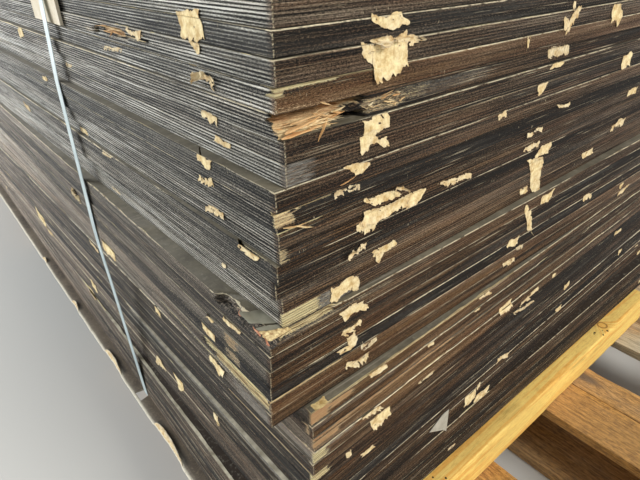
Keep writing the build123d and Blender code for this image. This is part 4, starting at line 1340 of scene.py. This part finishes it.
patch = bent_sheet(ledge_patch, np.arange(2, 28, 0.8), np.arange(-2, 12, 0.8), ledge_surface, 0.4 * MM)
settle(joined("ledge_residue", [patch], RESIDUE), "cover_board")

# Sheets whose film is rubbed pale along the left edge: sheet, where it starts and ends, and how wide, in mm
PALE_MARGINS = [(31, 24, 460, 5.0), (36, 20, 640, 3.4)]


def margin(number, start, end, wide):
    """A rubbed margin of the film along the left edge, with a ragged inner side."""
    def field(u, w):
        """Its outline in mm."""
        ragged = 3.2 * wide / 4 * (layered_noise(w / 30.0, u / 40.0, number, 4) - 0.35)
        return np.minimum(np.minimum(u + 0.6, wide + ragged - u), np.minimum(w - start, end - w))

    def surface(u, w):
        """It lies close on the film."""
        return on_sheet(sheets[number - 1], u, w, 0.25 + 0.2 * layered_noise(u / 4, w / 9, number + 1))

    us, ws = np.arange(-1, wide + 4, 0.8), np.arange(start - 3, end + 3, 3.0)
    return bent_sheet(field, us, ws, surface, 0.2 * MM)


PALE_MARGIN = simple_material("rubbed_film_margin", tint(214, 206, 182), tint(136, 128, 108), 70.0, 0.8, 0.3)
margins = [margin(*row) for row in PALE_MARGINS]
settle(joined("rubbed_film_margins", margins, PALE_MARGIN), "film_faced_plywood")


# Chip of grey film that hangs on the front face, low down: its corners along the face in mm, down it in
# sheets and out from it in mm
CHIP_PLACES = [(234, 33.75, 1.2), (262, 32.9, 0.8), (277, 32.85, 0.8), (276, 35.3, 2.6), (268, 34.9, 2.0)]
CHIP_THICK = 0.7 * MM


def film_chip():
    """The grey chip as a thin closed plate, a little clear of the edges at its free corner."""
    xs, drops, lifts = np.array(CHIP_PLACES).T
    place, outward = nearest_faces("front", xs * MM, drops)
    flat = np.column_stack([outward, np.zeros(len(xs))])
    lift = lifts[:, None] * MM
    grey = simple_material("grey_film_chip", tint(186, 182, 168), tint(158, 154, 140), 90.0, 0.5, 0.2)
    upper, lower = place + flat * (lift + CHIP_THICK), place + flat * lift
    return joined("grey_film_chip", [slab(upper, lower, [list(range(len(xs)))], plain_wear(len(xs)))], grey)


settle(film_chip(), "film_faced_plywood")

# Cover board under the sheets: torn places of its left edge, as in the solid, by their middle, length and
# depth in mm, and how far its columns reach and how far apart they stand
COVER_TEARS = [(325, 118, 15), (585, 96, 12), (834, 52, 9), (1104, 38, 8)]
COVER_COLUMNS = [(1.45, 4 * MM), (2.60, 14 * MM)]
# How far its edge is uneven and frayed, and the part of a tear's depth that wear adds
COVER_UNEVEN = 1.4 * MM
COVER_FRAYED = 0.9 * MM
TEAR_WORN = 0.22


def cover_edge(y):
    """How far the cover board's left edge is worn back at distances from the near corner."""
    back = COVER_UNEVEN * layered_noise(y * 40, 0.0, 5, 4) + COVER_FRAYED * layered_noise(y * 220, 0.0, 6, 2)
    for middle, length, deep in COVER_TEARS:
        share = (y - middle * MM) / (length * MM)
        bowl = np.clip(1 - (2 * share) ** 2, 0, 1) ** 0.6
        back = back + TEAR_WORN * deep * MM * bowl * (0.75 + 0.5 * layered_noise(y * 90, 0.0, 8, 3))
    return back


def cover_material():
    """Brown board, dirty on its face, pale and fibrous along its torn rim, and painted dark behind the rim at
    its tears: painted shade under the curled lips.
    """
    g = Graph("cover_board")
    place = g.coordinates("Object")
    fibre = g.noise(place, 260.0, 4.0, 0.7)
    cloudy = g.noise(place, 9.0, 4.0, 0.6)
    rim, shade, _, _ = g.marks("wear")
    colour = g.mix(g.window(cloudy, 0.35, 0.7), tint(70, 61, 53), tint(118, 106, 90))
    colour = g.over(
        colour,
        (g.window(fibre, 0.5, 0.7) * 0.5, tint(148, 134, 112)),
        # Painted shade under the curled lips at the tears
        (shade * 0.9, tint(16, 13, 11)),
        (rim * g.window(fibre, 0.15, 0.45), tint(226, 218, 198)),
    )
    g.bump(fibre, 0.4, 0.0006)
    return g.finish(colour, 0.8, Specular_IOR_Level=0.25)


def bands(count, stations):
    """The four-sided faces round a closed grid of rows: row, station along it and corners."""
    for k in range(count):
        for n in range(stations - 1):
            a, b = k * stations + n, (k + 1) % count * stations + n
            yield k, n, [a, a + 1, b + 1, b]


def board_strip(y, rows, half):
    """A closed strip of the cover board from rows across it: place, middle height, thickness, and wear, which
    holds the rim's paleness and painted shade.
    """
    def layer(up):
        """The upper side where up is 1, the lower one where it is -1."""
        return np.array([
            np.column_stack([x, y, np.ones(len(y)) * (z + up * thick * half)]) for x, z, thick, _ in rows
        ])

    ring = np.concatenate([layer(1), layer(-1)[::-1]])
    count, stations = ring.shape[:2]
    faces = [ring[::-1] for _, _, ring in bands(count, stations)]
    faces.append([k * stations for k in range(count)])
    faces.append([k * stations + stations - 1 for k in reversed(range(count))])
    shape = (stations, 4)
    marks = np.array([
        np.broadcast_to(np.stack(np.broadcast_arrays(*wear, 0.0, 1.0), axis=-1), shape) for *_, wear in rows
    ])
    return ring.reshape(-1, 3), faces, np.concatenate([marks, marks[::-1]]).reshape(-1, 4)


# Its rim's width and curl, the room round a strap in its slot, and how far below and above the board a
# strap is measured
RIM_WIDTH = 5.0 * MM
RIM_CURL = 1.6 * MM
SLOT_CLEAR = 1.5 * MM
STRAP_BELOW = 60 * MM
STRAP_ABOVE = 30 * MM


def cover_board():
    """The cover board: its narrow outer rim, and the rest with the slots that the straps pass through."""
    low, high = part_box("cover_board")
    length = high[1] - low[1]
    y = low[1] + np.append(stepped(COVER_COLUMNS, length, 0.0), length)
    from_corner = y - corner[1]
    edge = low[0] + cover_edge(from_corner)
    middle = (low[2] + high[2]) / 2
    half = (high[2] - low[2]) / 2
    curl = (layered_noise(from_corner * 16, 0.0, 9, 3) - 0.5) * RIM_CURL
    # Within each tear the board behind the rim is painted dark: painted shade under the curled lips.
    painted_tear_shade = np.zeros(len(y))
    for tear, reach, _ in COVER_TEARS:
        painted_tear_shade = np.maximum(painted_tear_shade, rise(reach * 0.52 - np.abs(from_corner / MM - tear), 0, 8))
    rim = board_strip(y, [
        (edge, middle + curl, 0.45, (1.0, 0.0)),
        (edge + 1.2 * MM, middle + curl * 0.8, 0.9, (1.0, 0.0)),
        (edge + 3 * MM, middle + curl * 0.4, 1.0, (0.75, painted_tear_shade * 0.2)),
        (edge + RIM_WIDTH, middle, 1.0, (0.25, painted_tear_shade)),
    ], half)
    start = edge + RIM_WIDTH
    for strap in ("front_strap", "rear_strap"):
        points = np.array([vertex.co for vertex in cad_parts[strap].data.vertices])
        level = (points[:, 2] > low[2] - STRAP_BELOW) & (points[:, 2] < high[2] + STRAP_ABOVE)
        here = points[(points[:, 0] < 0) & level]
        strap_low, strap_high = here[:, 1].min(), here[:, 1].max()
        reach = (strap_high - strap_low) / 2 + SLOT_CLEAR
        slot = 1 - rise(np.abs(y - (strap_high + strap_low) / 2), reach, reach + 3 * MM)
        start = np.where(slot > 0.5, np.maximum(start, here[:, 0].max() + SLOT_CLEAR), start)
    rest = board_strip(y, [
        (start, middle, 1.0, (0.2, painted_tear_shade)),
        (start + 4 * MM, middle, 1.0, (0.05, painted_tear_shade)),
        (start + 11 * MM, middle, 1.0, (0.0, 0.0 * y)),
        (np.full(len(y), high[0] - 20 * MM), middle, 1.0, (0.0, 0.0)),
        (np.full(len(y), high[0]), middle, 1.0, (0.0, 0.0)),
    ], half)
    return joined("thin_cover_board", [rim, rest], cover_material())


settle(cover_board(), "cover_board", "cover_board")


def curled_lips():
    """Layers of the cover board's rim that have come up at its torn places and curl over."""
    low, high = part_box("cover_board")
    parts = []
    for n, (middle, length, deep) in enumerate(COVER_TEARS):
        t = np.linspace(0, 1, 34)
        across = np.linspace(0, 1, 8)
        tt, aa = np.meshgrid(t, across, indexing="ij")
        bow = np.sin(math.pi * np.clip(tt, 0, 1) ** 0.65) ** 0.8 * (1 - 0.25 * tt)
        y = corner[1] + (middle + (0.5 - tt) * length * 0.96) * MM
        edge = low[0] + cover_edge(y - corner[1])
        turn = aa * 2.1
        reach = (0.32 * deep + 2.6) * bow * MM
        x = edge + 1.0 * MM + reach * (0.35 * aa + 0.5 * np.sin(turn) * aa)
        z = high[2] + 0.2 * MM + reach * (0.9 * aa + 0.3 * np.sin(aa * 3.0))
        z = z + 0.8 * MM * (layered_noise(tt * 9, aa * 2, 60 + n) - 0.5) * aa
        upper = np.stack([x, y, z], axis=-1).reshape(-1, 3)
        lower = upper + np.array([0.8, 0, -0.25]) * MM
        wide = len(across)
        starts = [i * wide + j for i in range(len(t) - 1) for j in range(wide - 1)]
        faces = [[a, a + 1, a + wide + 1, a + wide] for a in starts]
        pale = np.clip(aa.reshape(-1) * 1.3 - 0.3, 0, 1)
        wear = np.column_stack([0.3 + 0.7 * pale, 0.15 * (1 - pale), 0.3 * (1 - pale), np.ones(len(pale))])
        parts.append(slab(upper, lower, faces, wear))
    return joined("curled_board_lips", parts, RESIDUE)


settle(curled_lips(), "cover_board")


def section(width, height, radius, per_side):
    """Points round a sawn section with broken corners: places, outward normals and distance round."""
    points, normals = [], []
    half = (width / 2 - radius, height / 2 - radius)
    turns = ((1, -1), (1, 1), (-1, 1), (-1, -1))

    def rounded(quarter, angle):
        """A place on one rounded corner, and its normal."""
        normal = (math.cos(angle), math.sin(angle))
        signs = turns[quarter % 4]
        return [sign * reach + radius * part for sign, reach, part in zip(signs, half, normal)], normal

    for quarter in range(4):
        for step in range(3):
            point, normal = rounded(quarter, math.pi / 2 * (quarter - 1 + step / 2))
            points.append(point)
            normals.append(normal)
        first = np.array(points[-1])
        last, normal = rounded(quarter + 1, math.pi / 2 * quarter)
        for step in range(1, per_side):
            share = step / per_side
            points.append(first * (1 - share) + np.array(last) * share)
            normals.append(normal)
    points, normals = np.array(points), np.array(normals)
    steps = np.linalg.norm(np.roll(points, -1, axis=0) - points, axis=1)
    return points, normals, np.append(0, np.cumsum(steps))


# How uneven, rough and worn a sawn timber is: waves, saw marks, corners, corners at the ends and ends
TIMBER_WAVES = 1.0 * MM
TIMBER_ROUGH = 0.45 * MM
CORNER_WORN = 2.2 * MM
CORNER_END_WORN = 1.0 * MM
END_RAGGED = 1.6 * MM
TIMBER_SWELL = 0.25 * MM


def timber_skin(points, distance, at, seed, flip):
    """Faces, slots and surface coordinates of a timber: its sides, and its ends with their own slot."""
    count, stations = len(points), len(at)
    faces, uvs = [], []
    shift = (seed * 1.73 % 5.0, seed * 0.61 % 3.0)
    for k, n, ring in bands(count, stations):
        u0, u1 = at[n] + shift[0], at[n + 1] + shift[0]
        v0, v1 = distance[k] + shift[1], distance[k + 1] + shift[1]
        uv = [(u0, v0), (u1, v0), (u1, v1), (u0, v1)]
        faces.append(ring if flip else ring[::-1])
        uvs += uv if flip else uv[::-1]
    slots = [0] * len(faces) + [1, 1]
    pith = ((float(hashed(seed, 1)) - 0.5) * 0.12, -0.02 - 0.06 * float(hashed(seed, 2)))
    for end, order in ((0, range(count)), (stations - 1, range(count - 1, -1, -1))):
        ring = [k * stations + end for k in order]
        cap = [(points[k][0] - pith[0], points[k][1] - pith[1]) for k in order]
        faces.append(ring[::-1] if flip else ring)
        uvs += cap[::-1] if flip else cap
    return faces, slots, uvs


def timber(low, high, along, step, radius, per_side, seed, tones, hollows=()):
    """Vertices, faces, wear, slots and surface coordinates of one sawn timber, worn and slightly uneven.

    Hollows are worn or broken places: distance along, angle round the section, reach along, angle
    reached, and depth, in metres and degrees.
    """
    low, high = np.array(low), np.array(high)
    size = high - low
    length = size[along]
    p, q = [(1, 2), (0, 2)][along]
    points, normals, distance = section(size[p], size[q], radius, per_side)
    count = len(points)
    stations = max(int(length / step), 2) + 1
    at = np.linspace(0, length, stations)
    around = np.arange(count)[:, None] * 1.0
    run = at[None, :]
    corner_point = (np.arange(count) % (per_side + 2) < 3)[:, None]
    out = (layered_noise(run * 7, around * 0.35, seed) - 0.55) * TIMBER_WAVES
    out = out + (layered_noise(run * 90, around * 1.3, seed + 1) - 0.5) * TIMBER_ROUGH
    worn = rise(layered_noise(run * 11, around * 0.05, seed + 2, 4), 0.52, 0.8)
    out = out - corner_point * worn * CORNER_WORN
    angle = np.degrees(np.arctan2(normals[:, 1], normals[:, 0]))[:, None]
    for place, turn, reach, spread, deep in hollows:
        apart = (angle - turn + 180) % 360 - 180
        window = np.exp(-((run - place) / reach) ** 2) * np.exp(-(apart / spread) ** 2)
        out = out - deep * window
    end_worn = 1 - rise(np.minimum(run, length - run), 0.0, 5 * MM)
    out = np.minimum(out - end_worn * corner_point * CORNER_END_WORN, TIMBER_SWELL)
    ragged = (layered_noise(around * 0.9, 0.0, seed + 4, 3) - 0.5) * END_RAGGED
    spread_at = np.broadcast_to(run, out.shape).copy()
    spread_at[:, :1] += np.abs(ragged)
    spread_at[:, -1:] -= np.abs(ragged)
    middle = (low + high) / 2
    vertices = np.zeros((count, stations, 3))
    vertices[:, :, along] = low[along] + spread_at
    for part, axis in enumerate((p, q)):
        vertices[:, :, axis] = middle[axis] + points[:, part][:, None] + normals[:, part][:, None] * out
    faces, slots, uvs = timber_skin(points, distance, at, seed, along == 1)
    # Painted shade: each part's own amount, more on its worn corners and varying along it.
    shade = tones[0] + 0.35 * worn * corner_point + 0.15 * layered_noise(run * 3, around * 0.2, seed + 6)
    grime = tones[1] + 0.4 * rise(layered_noise(run * 9, around * 0.3, seed + 7), 0.62, 0.85)
    wear = np.clip(np.stack(np.broadcast_arrays(shade, grime, tones[2], np.ones_like(out)), axis=-1), 0, 1)
    return vertices.reshape(-1, 3), faces, wear.reshape(-1, 4), slots, uvs


# Hollows of the front bearer: the broken place in its lower outer edge, from the photo
NICK_FROM_RIGHT = 165 * MM
BEARER_HOLLOWS = [(bearer_high[0] - bearer_low[0] - NICK_FROM_RIGHT, -135.0, 16 * MM, 30.0, 9 * MM)]
for number in (1, 2, 3, 4):
    low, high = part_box(f"bearer_{number}")
    hollows = BEARER_HOLLOWS if number == 1 else ()
    tones = (0.05, 0.03, 0.0) if number == 1 else (0.18, 0.08, 0.15)
    body = timber(low, high, 0, 8 * MM, 3 * MM, 8, 40 + number, tones, hollows)
    side = FRONT_BEARER_SIDE if number == 1 else BEARER_SIDE
    settle(joined(f"timber_bearer_{number}", [body], side, BEARER_END), "bearer_timber", f"bearer_{number}")


def islands(node):
    """Lowest and highest corners of each separate solid in a node."""
    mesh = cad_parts[node].data
    place = [tuple(round(value * 20000) for value in vertex.co) for vertex in mesh.vertices]
    parent = {spot: spot for spot in place}

    def find(item):
        """The place that stands for all those joined to this one."""
        while parent[item] != item:
            parent[item] = parent[parent[item]]
            item = parent[item]
        return item

    for edge in mesh.edges:
        parent[find(place[edge.vertices[0]])] = find(place[edge.vertices[1]])
    groups = {}
    for vertex, spot in zip(mesh.vertices, place):
        groups.setdefault(find(spot), []).append(vertex.co)
    boxes = [(np.min(group, axis=0), np.max(group, axis=0)) for group in groups.values()]
    return sorted(boxes, key=lambda box: (round(float(box[0][0]), 3), round(float(box[0][1]), 3)))


# Pallet wood: each part's direction, length of step, steps on each side of its section and first seed
PALLET_PARTS = [
    ("deck_boards", 1, 20 * MM, 6, 0), ("cross_boards", 0, 30 * MM, 6, 10),
    ("bottom_boards", 1, 36 * MM, 6, 20), ("blocks", 0, 12 * MM, 5, 50),
]
PALLET_RADIUS = 1.5 * MM
# How much painted shade, grime and weathering each has; the deck boards from the left
PALLET_TONES = {
    "deck_boards": [
        (0.3, 0.2, 0.1), (0.25, 0.2, 0.1), (0.15, 0.15, 0.15),
        (0.1, 0.15, 0.3), (0.05, 0.2, 0.95), (0.2, 0.3, 0.6),
    ],
    "cross_boards": [(0.35, 0.35, 0.25)] * 3,
    "bottom_boards": [(0.35, 0.35, 0.25)] * 3,
    "blocks": [(0.3, 0.35, 0.2)] * 9,
}
# Nail heads: sides, and the radius and height of the rim and of the flat top
NAIL_SIDES = 10
NAIL_RINGS = ((3.2 * MM, -0.6 * MM), (2.6 * MM, 0.5 * MM))


def pallet_wood(which, seed):
    """All four kinds of wood of one pallet, as a piece for each node."""
    for part, along, step, per_side, first in PALLET_PARTS:
        node = f"{which}_pallet_{part}"
        timbers = [
            timber(low, high, along, step, PALLET_RADIUS, per_side, seed + first + n, tones)
            for n, ((low, high), tones) in enumerate(zip(islands(node), PALLET_TONES[part]))
        ]
        name = f"{which}_pallet_worn_{part}"
        settle(joined(name, timbers, PALLET_SIDE, PALLET_END), "pallet_timber", node)


def nail_heads(which):
    """Round heads where the deck boards are nailed to the cross boards."""
    angles = np.linspace(0, TURN, NAIL_SIDES + 1)[:-1]
    circle = np.column_stack([np.cos(angles), np.sin(angles), np.zeros(NAIL_SIDES)])
    pairs = [(a, (a + 1) % NAIL_SIDES) for a in range(NAIL_SIDES)]
    faces = [[a, b, b + NAIL_SIDES, a + NAIL_SIDES] for a, b in pairs]
    faces += [list(range(NAIL_SIDES, 2 * NAIL_SIDES)), list(range(NAIL_SIDES))[::-1]]
    parts = []
    for deck_low, deck_high in islands(f"{which}_pallet_deck_boards"):
        for n, (cross_low, cross_high) in enumerate(islands(f"{which}_pallet_cross_boards")):
            for k, (across, back) in enumerate(((0.22, 0.3), (0.5, 0.72), (0.78, 0.3))):
                x = deck_low[0] + (deck_high[0] - deck_low[0]) * across
                x += (float(hashed(k, n, deck_low[0] * 50)) - 0.5) * 6 * MM
                middle = np.array([x, cross_low[1] + (cross_high[1] - cross_low[1]) * back, deck_high[2]])
                rings = [middle + circle * radius + np.array([0, 0, up]) for radius, up in NAIL_RINGS]
                parts.append((np.concatenate(rings), faces, plain_wear(2 * NAIL_SIDES)))
    settle(joined(f"{which}_pallet_nail_heads", parts, NAIL), "seal_metal")


for which, seed in (("front", 100), ("rear", 300)):
    pallet_wood(which, seed)
    nail_heads(which)


def dress(node, material):
    """Gives a CAD node that keeps its shape a better material."""
    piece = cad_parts[node]
    if not piece.material_slots:
        piece.data.materials.append(material)
    piece.material_slots[0].link = "OBJECT"
    for slot in piece.material_slots:
        slot.material = material


for which in ("front", "rear"):
    dress(f"{which}_strap", STRAP)
    dress(f"{which}_edge_protectors", LAMINATE)
    dress(f"{which}_strap_seal", SEAL)


# Stage: half the floor's side, the world's light and the lamps with place, power, side and colour
FLOOR_REACH = 30.0
WORLD_LIGHT = ((0.93, 0.96, 1.0, 1.0), 0.42)
BACKDROP_COLOUR = (0.82, 0.84, 0.85, 1.0)
LAMPS = (
    ("window_light", (-6.4, 7.8, 3.6), 1650.0, 5.5, (0.95, 0.98, 1.0)),
    ("near_light", (1.2, -8.0, 5.2), 620.0, 3.0, (1.0, 0.97, 0.92)),
    ("far_light", (8.0, 4.0, 5.8), 520.0, 4.5, (1.0, 0.98, 0.95)),
)
LAMPS_AIM = (0.0, -0.4, 0.5)


def stage_and_light():
    """Pale floor, even studio light and the photo's camera."""
    floor_material = Graph("stage_floor").finish(tint(196, 195, 190), 0.7)
    corners = [(x * FLOOR_REACH, y * FLOOR_REACH, 0.0) for x, y in ((-1, -1), (1, -1), (1, 1), (-1, 1))]
    floor = mesh_object("stage_floor", corners, [(0, 1, 2, 3)], [floor_material])
    world = bpy.data.worlds.new("studio")
    bpy.context.scene.world = world
    world.use_nodes = True
    tree = world.node_tree
    background = tree.nodes["Background"]
    background.inputs["Color"].default_value, background.inputs["Strength"].default_value = WORLD_LIGHT
    backdrop = tree.nodes.new("ShaderNodeBackground")
    backdrop.inputs["Color"].default_value = BACKDROP_COLOUR
    path = tree.nodes.new("ShaderNodeLightPath")
    choice = tree.nodes.new("ShaderNodeMixShader")
    seen = path.outputs["Is Camera Ray"]
    for kind in ("Is Glossy Ray", "Is Transmission Ray"):
        either = tree.nodes.new("ShaderNodeMath")
        either.operation = "MAXIMUM"
        tree.links.new(seen, either.inputs[0])
        tree.links.new(path.outputs[kind], either.inputs[1])
        seen = either.outputs[0]
    tree.links.new(seen, choice.inputs[0])
    tree.links.new(background.outputs[0], choice.inputs[1])
    tree.links.new(backdrop.outputs[0], choice.inputs[2])
    tree.links.new(choice.outputs[0], tree.nodes["World Output"].inputs["Surface"])
    for name, place, energy, width, colour in LAMPS:
        data = bpy.data.lights.new(name, "AREA")
        data.energy = energy
        data.size = width
        data.color = colour
        lamp = bpy.data.objects.new(name, data)
        lamp.location = place
        aim = Vector(LAMPS_AIM) - Vector(place)
        lamp.rotation_euler = aim.to_track_quat("-Z", "Y").to_euler()
        bpy.context.scene.collection.objects.link(lamp)
    data = bpy.data.cameras.new("photo_camera")
    data.sensor_width = 36.0
    data.lens = FOCAL_PIXELS / FRAME_PIXELS * data.sensor_width
    data.clip_start = 0.01
    camera = bpy.data.objects.new("photo_camera", data)
    bpy.context.scene.collection.objects.link(camera)
    axes = Matrix((CAMERA_RIGHT_AXIS, CAMERA_UP_AXIS, CAMERA_BACK_AXIS)).transposed()
    camera.matrix_world = Matrix.Translation(Vector(camera_place)) @ axes.to_4x4()
    bpy.context.scene.camera = camera
    bpy.context.scene.view_settings.view_transform = "Standard"


stage_and_light()
